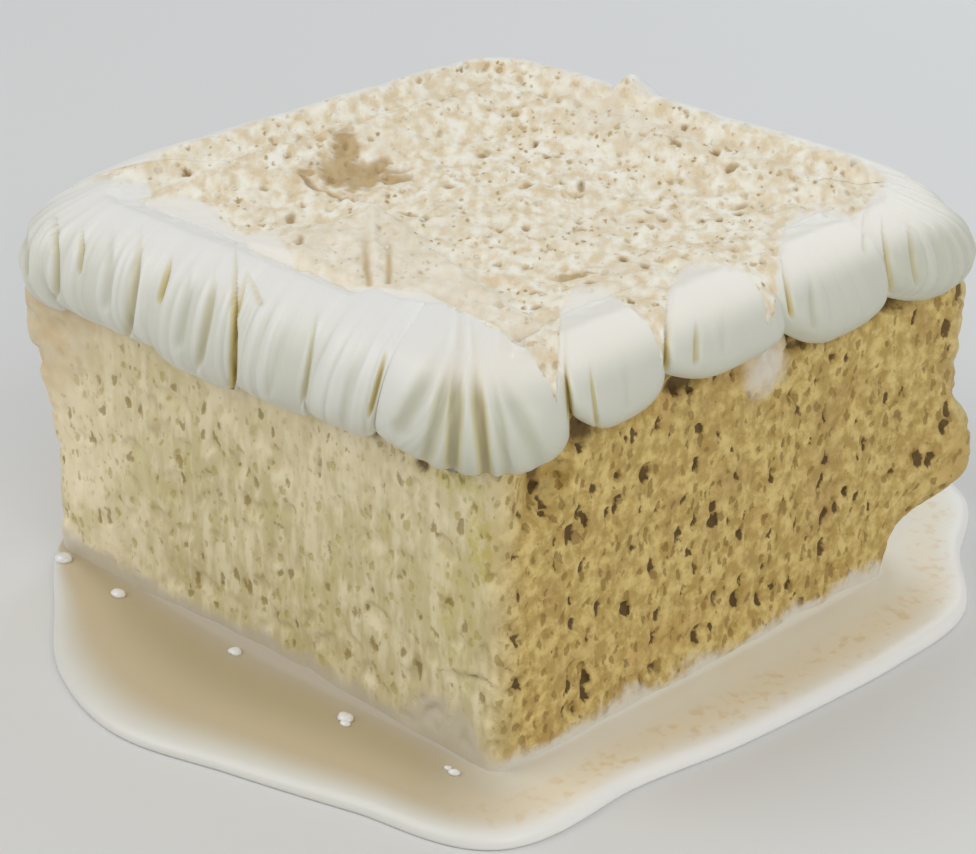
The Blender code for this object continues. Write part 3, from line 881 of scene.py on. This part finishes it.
def piped_material():
    """Smooth white cream: cool grey flutes of painted shade, olive-yellow creases darkened by painted
    shade, painted shade low down and at the right, a whiter top partly of painted light, warm and
    pitted on top.
    """
    made, tree, shader = new_material("piped_cream", (0.2, (0.0018, 0.0016, 0.0012)), roughness=0.42)
    place = kept_place(tree)
    groove, crease, tint, open_part, fan, fluting = kept(
        tree, "groove", "crease", "tint", "open", "fan", "fluting")
    height = separate(place)[2]
    streak = waves(combine(tree, fan, height * 0.12, 0.0), 2.0 * MM, 1.5)
    right = fade(separate(object_place(tree))[0], 20 * MM, 42 * MM)
    # a crease's own yellow, turning dark olive with painted shade where the crease is deep
    yellow = mix_colour(fade(crease, 0.35, 0.75), (0.68, 0.58, 0.27), (0.36, 0.27, 0.06))
    # warm: the petals' top, partly the cream's own warmth, partly painted light
    warm = mix_colour(right, (0.93, 0.915, 0.87), (0.93, 0.88, 0.78))
    smooth = layers(
        # painted shade in streaks along the flutes
        mix_colour(fade(streak, 0.3, 0.7) * fluting, (0.87, 0.86, 0.82), (0.76, 0.76, 0.69)),
        # painted shade on the petals at the right
        (right * 0.65, (0.66, 0.67, 0.55)),
        # painted shade lower down on the petals
        (fade(height, 50 * MM, 38 * MM) * mix(right, 0.45, 0.7), (0.57, 0.58, 0.46)),
        # painted shade in the flutes' grooves
        (groove * 0.5, (0.60, 0.60, 0.48)),
        # painted shade in the creases
        (fade(crease, 0.06, 0.6) * 0.75, (0.49, 0.49, 0.38)),
        (fade(crease, 0.06, 0.42) * tint, yellow),
        # a whiter, warmer top: partly the cream's own tone, partly painted light
        (fade(height, 46.5 * MM, 49.5 * MM) * mix(right, 0.6, 0.95), warm))
    pitted, pits = cream_colours(place)
    paint(shader, base_color=mix_colour(open_part, smooth, pitted),
          roughness=mix(open_part, 0.42, 0.7), normal=relief(pits * open_part, 0.25 * MM, 0.6))
    return made


def ramp(value, *stops):
    """A colour for a value from 0 to 1, through stops of (place, colour), the outer two first."""
    made = new_node(value.tree, "ShaderNodeValToRGB", {"Fac": value})
    made.color_ramp.interpolation = "EASE"
    points = made.color_ramp.elements
    for number, (position, colour) in enumerate(stops):
        point = points[number] if number < 2 else points.new(position)
        point.position = position
        point.color = (*colour, 1)
    return Wire(made.outputs["Color"])


def milk_material():
    """Wet milk: tan and even at the left, partly its own tint, partly a painted reflection of the
    sponge and painted shade; paler and speckled at the right, whiter at its rim.
    """
    made, tree, shader = new_material("milk", (0.1, (0.002, 0.0016, 0.001)), roughness=0.32)
    place = object_place(tree)
    outwards, right = kept(tree, "outwards", "right")
    # at the left: partly the milk's own tan, partly a painted reflection of the sponge and painted
    # shade
    left_tan_and_reflection = ramp(outwards, (0.0, (0.52, 0.46, 0.36)), (1.0, (0.78, 0.77, 0.71)),
                       (0.3, (0.495, 0.415, 0.265)), (0.7, (0.615, 0.52, 0.36)))
    right_colour = ramp(outwards, (0.0, (0.85, 0.79, 0.65)), (1.0, (0.97, 0.95, 0.90)),
                        (0.3, (0.95, 0.91, 0.80)), (0.65, (0.94, 0.85, 0.67)))
    speckle = fade(waves(place, 1.6 * MM), 0.52, 0.7)
    middle = fade(outwards, 0.35, 0.6) * (1.0 - fade(outwards, 0.75, 0.95))
    right_colour = mix_colour(speckle * middle * 0.5, right_colour, (0.82, 0.60, 0.33))
    swell = waves(place, 14 * MM, 1.0)
    paint(shader, base_color=mix_colour(right, left_tan_and_reflection, right_colour),
          roughness=mix(fade(outwards, 0.03, 0.16), 0.75, 0.32), normal=relief(swell, 1.2 * MM, 0.4))
    return made


def granule_material():
    """Crumbled cream: warm white, browner here and there."""
    made, tree, shader = new_material("cream_granules", (0.15, (0.0012, 0.001, 0.0008)), roughness=0.7)
    tone = waves(object_place(tree), 2.2 * MM, 1.0)
    paint(shader, base_color=ramp(tone, (0.3, (0.90, 0.86, 0.78)), (0.75, (0.80, 0.71, 0.56))))
    return made


def drop_material():
    """White drops of thicker milk, whose white partly stands for a painted highlight."""
    made, tree, shader = new_material("milk_drops", roughness=0.1, coat_weight=0.5)
    tone = waves(object_place(tree), 1 * MM, 1.0)
    # their white: partly the drops' own, partly a painted highlight on the milk
    paint(shader, base_color=ramp(tone, (0.3, (0.80, 0.80, 0.78)), (0.7, (0.88, 0.88, 0.86))))
    return made


# ---------------------------------------------------------------- the sponge

def in_hollow(place, middle, radii):
    """1 in the middle of a hollow, 0 outside it, smooth between."""
    away = Vector([(a - b) / c for a, b, c in zip(place, middle, radii)]).length
    return smooth_step(1.3 - away)


def from_line(place, points):
    """Distance from a place to a line through points."""
    nearest = math.inf
    for start, end in zip(points, points[1:]):
        along = end - start
        part = clamp((place - start).dot(along) / along.length_squared)
        nearest = min(nearest, (place - start - along * part).length)
    return nearest


def make_sponge():
    distances = [SIDE * (side + step / count) for side, count in enumerate(FACE_COLUMNS)
                 for step in range(count)]
    squares = [square_point(distance) for distance in distances]
    edges = [rounded(square, HALF, SPONGE_CORNER) for square in squares]

    def place(column, row):
        square, edge = squares[column], edges[column]
        z = SPONGE_HEIGHT * row / (SPONGE_ROWS - 1)
        spot = edge.to_3d() + Vector((0, 0, z))
        lumps = 0.5 + 0.5 * noise.noise(spot / CRUMB_SIZE)
        holes = smooth_step(2.5 * noise.noise(spot / CRUMB_SIZE * 2 + Vector((9, 0, 0))) - 0.3)
        back = CRUMB_DEPTH * (0.55 * lumps + 0.45 * holes * smooth_step((z - 2 * MM) / WET_BAND))
        below = smooth_step((BULGES_END - z) / (3.3 * MM))
        for middle, radius, height in CORNER_BULGES:
            back -= height * smooth_step(1.1 - (spot - middle).length / radius) * below
        # hollow: how much painted shade darkens this place, in the hollows and in the foot crack
        hollow = 0
        for middle, radii, depth, shade_darkness in HOLLOWS:
            inside = in_hollow(spot, middle, radii)
            back += depth * inside
            hollow = max(hollow, shade_darkness * inside)
        stain = max(strength * in_hollow(spot, middle, radii) for middle, radii, strength in STAINS)
        crack = smooth_step(1 - from_line(spot, FOOT_CRACK) / FOOT_CRACK_DEPTH) if z < 18 * MM else 0
        drift = noise.noise(spot / (6 * MM)) + 0.5 * noise.noise(spot / (2 * MM))
        smear = smooth_step(1.3 - (spot - SMEAR[0]).length / SMEAR[1] + 0.5 * drift)
        crust = smooth_step(1.6 - (spot - SMOOTH_PATCH[0]).length / SMOOTH_PATCH[1] + 0.3 * drift)
        back += torn_foot(spot) + FOOT_CRACK_DEPTH * crack - SMEAR_HEIGHT * smear
        point = rounded(square, HALF - back, SPONGE_CORNER)
        # side: 1 on the faces at -X and +X, which get browner colours darkened with painted shade
        side = smooth_step((abs(edge.x) - abs(edge.y)) / (9 * MM) + 0.5)
        band = WET_BAND * blend(1, WET_AT_SIDES, side) * (1 + 0.4 * drift)
        if edge.y < 0:
            near = smooth_step(1.2 - abs(edge.x - WET_WEDGE[0]) / WET_WEDGE[1])
            band += WET_WEDGE[2] * near * (1 - side)
        wet = smooth_step((band - z) / (4 * MM) + 0.5)
        ends = smooth_step((z - 3 * MM) / (4 * MM)) * smooth_step((SPONGE_HEIGHT - z) / (1.2 * MM))
        return (point.x, point.y, z), {
            "open": (1 - 0.85 * wet) * (1 - 0.7 * smear) * (1 - 0.95 * crust),
            "loose": ends * blend(0.4, 1, side), "brown_side": side,
            "wet": wet, "smear": smear, "crust": crust, "stain": stain,
            "hollow": max(hollow, 0.6 * crack)}

    made = skin("sponge_crumb", len(distances), SPONGE_ROWS, place, closed=False)
    return run_tree(made, SPONGE_CRUMB, fine_depth=0.25 * MM, coarse_depth=0.7 * MM,
                    lump_height=0.15 * MM, grain_height=0.35 * MM, grain_size=1.2 * MM,
                    material=sponge_material())


# ---------------------------------------------------------------- the flat cream

def slab(cells):
    """A square sheet cut into cells, from -1 to 1, with a skirt down to a flat underside."""
    sheet = bmesh.new()
    bmesh.ops.create_grid(sheet, x_segments=cells, y_segments=cells, size=1)
    rim = [edge for edge in sheet.edges if edge.is_boundary]
    skirt = bmesh.ops.extrude_edge_only(sheet, edges=rim)["geom"]
    for item in skirt:
        if isinstance(item, bmesh.types.BMVert):
            item.co.z = -1
    bmesh.ops.holes_fill(sheet, edges=[edge for edge in sheet.edges if edge.is_boundary], sides=0)
    bmesh.ops.recalc_face_normals(sheet, faces=sheet.faces)
    sheet.verts.index_update()
    count = len(sheet.verts)

    def order(face):
        numbers = [vertex.index for vertex in face.verts]
        return max(numbers) * count + min(numbers)

    # The skirt's faces are made in a new order each run, and strewn bits follow their order
    sheet.faces.sort(key=order)
    return sheet


def turned(place, middle, turn):
    return Matrix.Rotation(-turn, 2) @ (place - middle)


def cream_surface(place):
    """The flat cream's height at a place, and how torn, spotted, pleated, ribbed and folded it is."""
    flat = Vector((*place, 0))
    ragged = 0.45 * noise.noise(flat / (2.2 * MM)) + 0.25 * noise.noise(flat / (0.9 * MM))
    torn = 0
    for middle, radii, turn in PATCHES:
        local = turned(place, middle, turn)
        away = Vector((local.x / radii.x, local.y / radii.y)).length
        torn = max(torn, smooth_step((1.7 - away + ragged) / 1.3))
    spot = smooth_step(1.3 - from_line(flat + Vector((0, 0.5 * MM * ragged, 0)), TEAR) / TEAR_WIDTH)
    for x, y, along, across, turn in SPOTS:
        local = turned(place, at(x, y), math.radians(turn)) / MM
        away = Vector((local.x / along, local.y / across)).length
        spot = max(spot, smooth_step(1.7 - away + ragged))
    wander = 0.15 * MM * noise.noise(flat / (4 * MM))
    wandered = flat + Vector((wander, wander, 0))
    pleat = 0
    for start, end in PLEATS:
        away = from_line(wandered, (start, end))
        taper = (wandered - start).dot(end - start) / (end - start).length_squared
        pleat = max(pleat, smooth_step(1.5 - away / PLEAT_WIDTH) * smooth_step(1.4 * taper))
    rib = smooth_step(1.4 - from_line(wandered, PLEAT_RIB) / RIB_WIDTH)
    height = fold(place)
    level = cream_level(place) + height - PATCH_DEPTH * max(torn, spot) - PLEAT_DEPTH * pleat
    return level + RIB_HEIGHT * rib, torn, spot, pleat, rib, height / FOLD_HEIGHT


def make_cream_top():
    half = HALF - EDGE_WIDTH + CREAM_UNDER_EDGE
    sheet = slab(CREAM_CELLS)
    placed = []
    for vertex in sheet.verts:
        place = rounded(vertex.co.xy, half, CREAM_CORNER)
        level, torn, spot, pleat, rib, folded = cream_surface(place)
        under = vertex.co.z < 0
        level -= CREAM_RIM_DIP * smooth_step((max(abs(place.x), abs(place.y)) - half) / MM + 1)
        vertex.co = (place.x, place.y, SPONGE_HEIGHT if under else level)
        white = 0
        if place.x > -HALF + EDGE_WIDTH and place.y < HALF - EDGE_WIDTH:
            white = 1 - over_the_white(*on_board(0, vertex.co))
        open_part = blend(1.0, 0.45, folded) * (1 - pleat) * (1 - white)
        placed.append({"white": white, "rib": rib, "torn": torn, "spot": spot, "open": open_part,
                       "pleat": pleat, "loose": 0 if under else 1,
                       "strewn": 0 if under or torn > 0.3 or pleat > 0.2 else open_part ** 2})
    mesh = new_mesh("cream_top_pitted", sheet)
    for name in placed[0]:
        keep(mesh, name, [values[name] for values in placed])
    made = new_piece("cream_top_pitted", mesh)
    return run_tree(made, OPEN_CREAM, **CREAM_RELIEF, material=cream_top_material())


# ---------------------------------------------------------------- the piped edge

def piped_section(hang, out, crest, crisp, reach):
    """The hooked outline of the piped edge at one place, from its outermost point upwards.

    Each row gives the half width of its ring, the radius of the ring's corners, z, and the
    share of the flat cream's level in its z, which is still to be added. Where the edge is
    crisp it stands as a ridge over the flat cream, at its reach; elsewhere it sinks into it.
    """
    low = SPONGE_HEIGHT - hang
    rise = crest - low
    under = SPONGE_HEIGHT
    ridge = blend(6.3 * MM, reach, crisp)
    top = blend(4.0 * MM, max(reach - 2.5 * MM, 2.4 * MM), crisp)
    drop = ridge + blend(1.8, 0.6, crisp) * MM
    meet = max(drop + 0.5 * MM, 9.1 * MM)
    inner = max(meet + 0.6 * MM, 1.02 * EDGE_WIDTH)
    crest_share = blend(0.4, 1, crisp)
    return (
        (HALF + 0.6 * MM + out, PIPED_CORNER, low + 0.42 * rise, 0),
        (HALF + 0.4 * MM + 0.86 * out, PIPED_CORNER, low + 0.64 * rise, 0),
        (HALF - 0.3 * MM + 0.58 * out, PIPED_CORNER, low + 0.81 * rise, 0),
        (HALF - 1.6 * MM + 0.25 * out, PIPED_CORNER, low + 0.92 * rise, 0),
        (HALF - top, PIPED_CORNER - 3 * MM, crest, 0),
        (HALF - ridge, PIPED_CORNER - 6 * MM, crest * crest_share, 1 - crest_share),
        (HALF - drop, PIPED_CORNER - 7 * MM, 0.05 * MM, 1),
        (HALF - meet, CREAM_CORNER, -0.1 * MM, 1),
        (HALF - inner, CREAM_CORNER, -1.8 * MM, 1),
        (HALF - inner, CREAM_CORNER, under, 0),
        (HALF - 0.5 * EDGE_WIDTH, CREAM_CORNER, under, 0),
        (HALF - 0.6 * MM, INSIDE_CORNER, under, 0),
        (HALF - 0.6 * MM, INSIDE_CORNER, low + 0.5 * MM, 0),
        (HALF + 0.5 * MM + 0.3 * out, PIPED_CORNER, low, 0),
        (HALF + 0.6 * MM + 0.65 * out, PIPED_CORNER, low + 0.07 * rise, 0),
        (HALF + 0.6 * MM + 0.92 * out, PIPED_CORNER, low + 0.22 * rise, 0),
    )


def hidden_creases():
    """Fine creases on the sides that the picture doesn't show."""
    draw = random.Random(HIDDEN_SEED + 1)
    width = (ROUND_THE_SLICE - LAST_SHOWN_CREASE) / HIDDEN_CREASES
    return [Crease(LAST_SHOWN_CREASE + (number + draw.uniform(0, 0.6)) * width,
                   draw.uniform(-0.3, 0.3), draw.uniform(39, 43), draw.uniform(49, 52),
                   draw.uniform(0.25, 0.9), draw.uniform(0.5, 0.9), draw.uniform(0, 1))
            for number in range(HIDDEN_CREASES)]


def crispness(distance):
    """1 where the piped edge ends in a ridge over the flat cream, at the front left."""
    return (smooth_step(stretch(distance, CRISP_FROM, CRISP_FROM + 2.5))
            * smooth_step(stretch(distance, CRISP_TO, CRISP_TO - 3)))


def sweep(start):
    """How far the cream is drawn along the edge for each millimetre inwards over its top."""
    return through(start if start < SWEEP_WRAPS else start - ROUND_THE_SLICE, SWEEP)


def on_board(start, point):
    """Where a point of the piped edge shows on the board, in millimetres, seen from the front.

    The board stands against the left and right shown sides. Places on it count from its front
    corner, negative to the left. A hidden side has no board and gives the distance round.
    """
    if start > LAST_SHOWN_CREASE:
        return start, point.z / MM
    eye = Vector(CAMERA_PLACE)
    ray = point - eye
    seen = eye + ray * (-BOARD - eye.y) / ray.y
    if seen.x > BOARD:
        seen = eye + ray * (BOARD - eye.x) / ray.x
        return (seen.y + BOARD) / MM, seen.z / MM
    return (seen.x - BOARD) / MM, seen.z / MM


def over_the_white(seen, height):
    """1 where a place on the board shows the warm pitted cream, 0 on the petals' smooth white."""
    soft = through(seen, WHITE_SOFTNESS)
    ragged = 0.45 * noise.noise(Vector((seen / 1.6, height / 1.6, 0))) * min(soft, 1.5)
    return smooth_step((height - through(seen, WHITE_TOP) + ragged) / soft + 0.5)


def deepest_crease(creases, start, height):
    """Depth, in millimetres, and tint of the deepest crease at a place and height on the board."""
    depth = tint = 0
    first = bisect.bisect_left(creases, start - CREASE_WIDEST * 2, key=lambda crease: crease.start)
    for crease in creases[first:]:
        if crease.start > start + CREASE_WIDEST * 2:
            break
        along = stretch(height, crease.foot, crease.top)
        taper = smooth_step(along / 0.15 + 0.3) * smooth_step((1 - along) / 0.6)
        off = start - crease.start - crease.lean * (height - crease.foot)
        cut = crease.depth * taper * math.exp(-(off / (crease.width * blend(0.45, 1, taper))) ** 2)
        if cut > depth:
            depth, tint = cut, crease.tint
    return depth, tint


class PipedEdge:
    """The piped edge's petals and creases, and what they make of it at any place."""

    def __init__(self):
        self.petals = all_petals()
        self.starts = [petal.start for petal in self.petals]
        self.creases = sorted([*CREASES, *hidden_creases()])
        self.columns = []
        for petal, following in zip(self.petals, self.petals[1:]):
            width = COLUMN_WIDTH if petal.start < LAST_SHOWN_CREASE else HIDDEN_COLUMN_WIDTH
            count = round((following.start - petal.start) / width)
            for even in (step / count for step in range(count)):
                crowded = blend(even, (1 - math.cos(math.pi * even)) / 2, CROWDING)
                self.columns.append(blend(petal.start, following.start, crowded))
        self.sections = [self.section(start) for start in self.columns]

    def petal_at(self, distance):
        """The petal at a distance, the one after it, and how far it is from one to the other."""
        distance = (distance - self.starts[0]) % ROUND_THE_SLICE + self.starts[0]
        number = min(bisect.bisect_right(self.starts, distance), len(self.starts) - 1)
        petal, following = self.petals[number - 1], self.petals[number]
        return petal, following, stretch(distance, petal.start, following.start)

    def section(self, start):
        petal, following, part = self.petal_at(start)
        soft = through(start, PETAL_SOFTNESS)
        full = min((2 * math.sqrt(part * (1 - part) + soft)) ** FULLNESS, 1)
        slow = RIGHT_SIDE[0] < petal.start < RIGHT_SIDE[1] and part < 0.5
        hang = MM * blend(blend(petal.crease_hang, following.crease_hang, part), petal.hang,
                          full ** LEFT_END if slow else full)
        out = MM * blend(blend(petal.crease_out, following.crease_out, part), petal.out, full)
        crest = crest_height(MM * (start % ROUND_THE_SLICE), full)
        reach = MM * through(start, RIDGE_REACH)
        outline = piped_section(hang, out, crest, crispness(start), reach)
        rows = finer_section(outline, SECTION_STEPS)
        return rows, SPONGE_HEIGHT - hang, blend(petal.lean, following.lean, part), crest

    def warmth(self, start, inwards, seen, height):
        """1 where the top's warm pitted cream shows, 0 on the petals' smooth white."""
        if start > LAST_SHOWN_CREASE:
            ragged = noise.noise(Vector((start, inwards, 0)) / 2.2)
            return smooth_step((inwards + 1.5 * ragged - HIDDEN_WHITE) / 2)
        return over_the_white(seen, height)

    def place(self, column, row):
        rows, foot, lean, crest = self.sections[column]
        half, corner, z, level_share = rows[row]
        inwards = (HALF - half) / MM
        over_the_top = row < TOP_ROWS
        start = self.columns[column]
        if row not in INSIDE_ROWS:
            start += lean * (min(z + level_share * CREAM_LEVEL, crest) - foot) / MM
        if over_the_top:
            start += sweep(start) * (inwards - (HALF - rows[0][0]) / MM)
        square = square_point(MM * start % (4 * SIDE))
        flat = rounded(square, half, corner)
        z += level_share * cream_level(flat)
        depth = tint = warm = 0
        if row < TOP_ROWS + 3 or row > INSIDE_ROWS[-1] + 1:
            seen, height = on_board(start, Vector((*flat, z)))
            depth, tint = deepest_crease(self.creases, seen, height)
        if row < TOP_ROWS + 3:
            warm = self.warmth(start, inwards, seen, height) * smooth_step(row / 5)
        depth *= 1 - 0.7 * warm
        sink = MM * depth + WHITE_THICKNESS * warm * smooth_step((8 - inwards) / 4)
        point = Vector((*rounded(square, half - sink, corner), z))
        if over_the_top:
            point.z -= 0.5 * sink * smooth_step((inwards - 1) / 3)
        petal, following, part = self.petal_at(self.columns[column])
        drop = clamp((crest - z) / (crest - foot))
        width = following.start - petal.start
        fanned = (part - 0.5) / blend(petal.fan, 1.0, drop)
        fluting = petal.flutes * smooth_step((drop + 0.1) / 0.4) * smooth_step((1.02 - drop) / 0.1)
        fluting *= smooth_step((0.68 - abs(fanned)) / 0.25)
        free = smooth_step((inwards - 1) / 4) if over_the_top else 0
        return tuple(point), {"open": warm, "loose": free,
                              "strewn": warm if inwards > 2 else 0,
                              "fan": MM * (petal.start * 7 + width * (0.5 + fanned)),
                              "fluting": fluting * (1 - warm), "crease": min(depth, 1), "tint": tint}


def make_piped_edge():
    edge = PipedEdge()
    made = skin("piped_petals", len(edge.columns), sum(SECTION_STEPS), edge.place, closed=True)
    material = piped_material()
    run_tree(made, FLUTES, flute_width=FLUTE_WIDTH, flute_depth=FLUTE_DEPTH, material=material)
    return run_tree(made, OPEN_CREAM, **CREAM_RELIEF, material=material)


# ---------------------------------------------------------------- the milk

def make_milk():
    rows = finer_section(POOL_OUTLINE, POOL_STEPS)

    def place(column, row):
        square = square_point(column / POOL_COLUMNS * 4 * SIDE)
        foot = rounded(square, HALF, SPONGE_CORNER)
        climb = MILK_CLIMB + TORN_FOOT_CLIMB * torn_foot(foot.to_3d())
        share, depth = rows[row]
        z = MILK_LEVEL * clamp(depth, 1.2)
        if depth > 1:
            z = MILK_LEVEL + climb * smooth_step((depth - 1) / 1.2)
        torn = torn_foot(Vector((foot.x, foot.y, z)))
        inside = rounded(square, HALF - 1.3 * MM - torn, INSIDE_CORNER)
        angle = math.atan2(square.y, square.x) % math.tau
        outside = Vector((math.cos(angle), math.sin(angle))) * pool_reach(angle)
        point = inside.lerp(outside, clamp(share))
        right = smooth_step((foot.x + foot.y) / (24 * MM) + 0.5) * smooth_step(foot.x / (20 * MM))
        return (point.x, point.y, max(z, 0)), {"outwards": clamp(share), "right": right}

    made = skin("milk_pool_wet", POOL_COLUMNS, len(rows), place, closed=True)
    made.data.materials.append(milk_material())
    return made


def make_drops():
    """Small white drops standing on the milk by the foot of the front left face, partly a painted
    highlight there.
    """
    drops = bmesh.new()
    for x, y, radius in DROPS:
        spot = Vector((x, y, MILK_LEVEL / MM + 0.25 * radius)) * MM
        shape = Matrix.LocRotScale(spot, None, Vector(DROP_SHAPE) * radius * MM)
        bmesh.ops.create_icosphere(drops, subdivisions=3, radius=1, matrix=shape)
    noise.seed_set(DROP_SEED)
    for vertex in drops.verts:
        vertex.co += noise.noise_vector(vertex.co / (0.9 * MM)) * 0.12 * MM
    return new_piece("milk_drops", new_mesh("milk_drops", drops, drop_material()))


# ---------------------------------------------------------------- loose bits

def strew(surface, **values):
    """Bits strewn over another piece."""
    return run_tree(new_piece("bits", surface.data.copy()), STREWN_BITS, **values)


def join(name, pieces, material):
    """Makes one piece of several, all of one material."""
    joined = bmesh.new()
    for piece in pieces:
        joined.from_mesh(piece.data)
        bpy.data.objects.remove(piece)
    for face in joined.faces:
        face.material_index = 0
    return new_piece(name, new_mesh(name, joined, material))


# ---------------------------------------------------------------- floor, lights and camera

def make_floor():
    floor = bmesh.new()
    bmesh.ops.create_grid(floor, x_segments=1, y_segments=1, size=3)
    material = new_material("pale_floor", roughness=0.7, base_color=(0.78, 0.78, 0.77, 1))[0]
    new_piece("floor", new_mesh("floor", floor, material))


def aim(made, place, target):
    """Puts a light or a camera at a place and turns it to a target."""
    made.location = place
    made.rotation_mode = "QUATERNION"
    made.rotation_quaternion = (Vector(place) - Vector(target)).to_track_quat("Z", "Y")


def add_light(name, place, size, power, colour):
    light = bpy.data.lights.new(name, "AREA")
    light.size, light.energy, light.color = size, power, colour
    aim(new_piece(name, light), place, (0, 0, 0.03))


def make_stage():
    make_floor()
    add_light("window_left", (-0.35, -0.5, 0.55), 0.7, 2.5, (1, 0.98, 0.95))
    add_light("soft_right", (0.6, -0.15, 0.4), 0.6, 1.7, (1, 0.98, 0.94))
    add_light("rim_behind", (-0.15, 0.5, 0.35), 0.4, 0.8, (0.85, 0.93, 1))
    world = bpy.data.worlds.new("room")
    world.use_nodes = True
    background = world.node_tree.nodes["Background"]
    background.inputs["Color"].default_value = (0.95, 0.97, 1, 1)
    background.inputs["Strength"].default_value = 0.41
    bpy.context.scene.world = world
    bpy.context.scene.view_settings.view_transform = "Standard"
    camera = bpy.data.cameras.new("camera")
    camera.lens, camera.sensor_width = CAMERA_LENS, SENSOR_WIDTH
    camera.clip_start, camera.clip_end = 0.01, 10
    made = new_piece("camera", camera)
    aim(made, CAMERA_PLACE, CAMERA_TARGET)
    bpy.context.scene.camera = made


SPONGE_CRUMB = open_crumb_tree("sponge_crumb", FINE_PORES, COARSE_PORES, CRUMB_LUMPS, PORE_TALL)
OPEN_CREAM = open_crumb_tree("open_cream", CREAM_PITS, CREAM_HOLES, CREAM_CURDS, long=CREAM_GRAIN)
CREAM_RELIEF = {"fine_depth": 0.35 * MM, "coarse_depth": 0.7 * MM, "lump_height": 0.3 * MM,
                "grain_height": 0.4 * MM, "grain_size": 1.2 * MM}
FLUTES = flute_tree()
STREWN_BITS = scatter_tree()

sponge = make_sponge()
cream_top = make_cream_top()
piped = make_piped_edge()
milk = make_milk()
drops = make_drops()
granule = granule_material()
granules = join("cream_granules", (
    strew(cream_top, bit_size=0.5 * MM, spacing=2.8 * MM, density=0.9e5, sink=0.2 * MM, seed=4,
          material=granule),
    strew(piped, bit_size=0.45 * MM, spacing=3 * MM, density=0.8e5, sink=0.2 * MM, seed=5,
          material=granule)), granule)

for piece, node, slot in ((sponge, "sponge", "soaked_sponge"), (cream_top, "cream_top", "cream_top"),
                          (piped, "piped_border", "piped_cream"), (milk, "milk_pool", "milk")):
    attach(piece, "root")
    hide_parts(node)
for piece, slot in ((drops, "milk"), (granules, "cream_top")):
    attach(piece, "root")

make_stage()
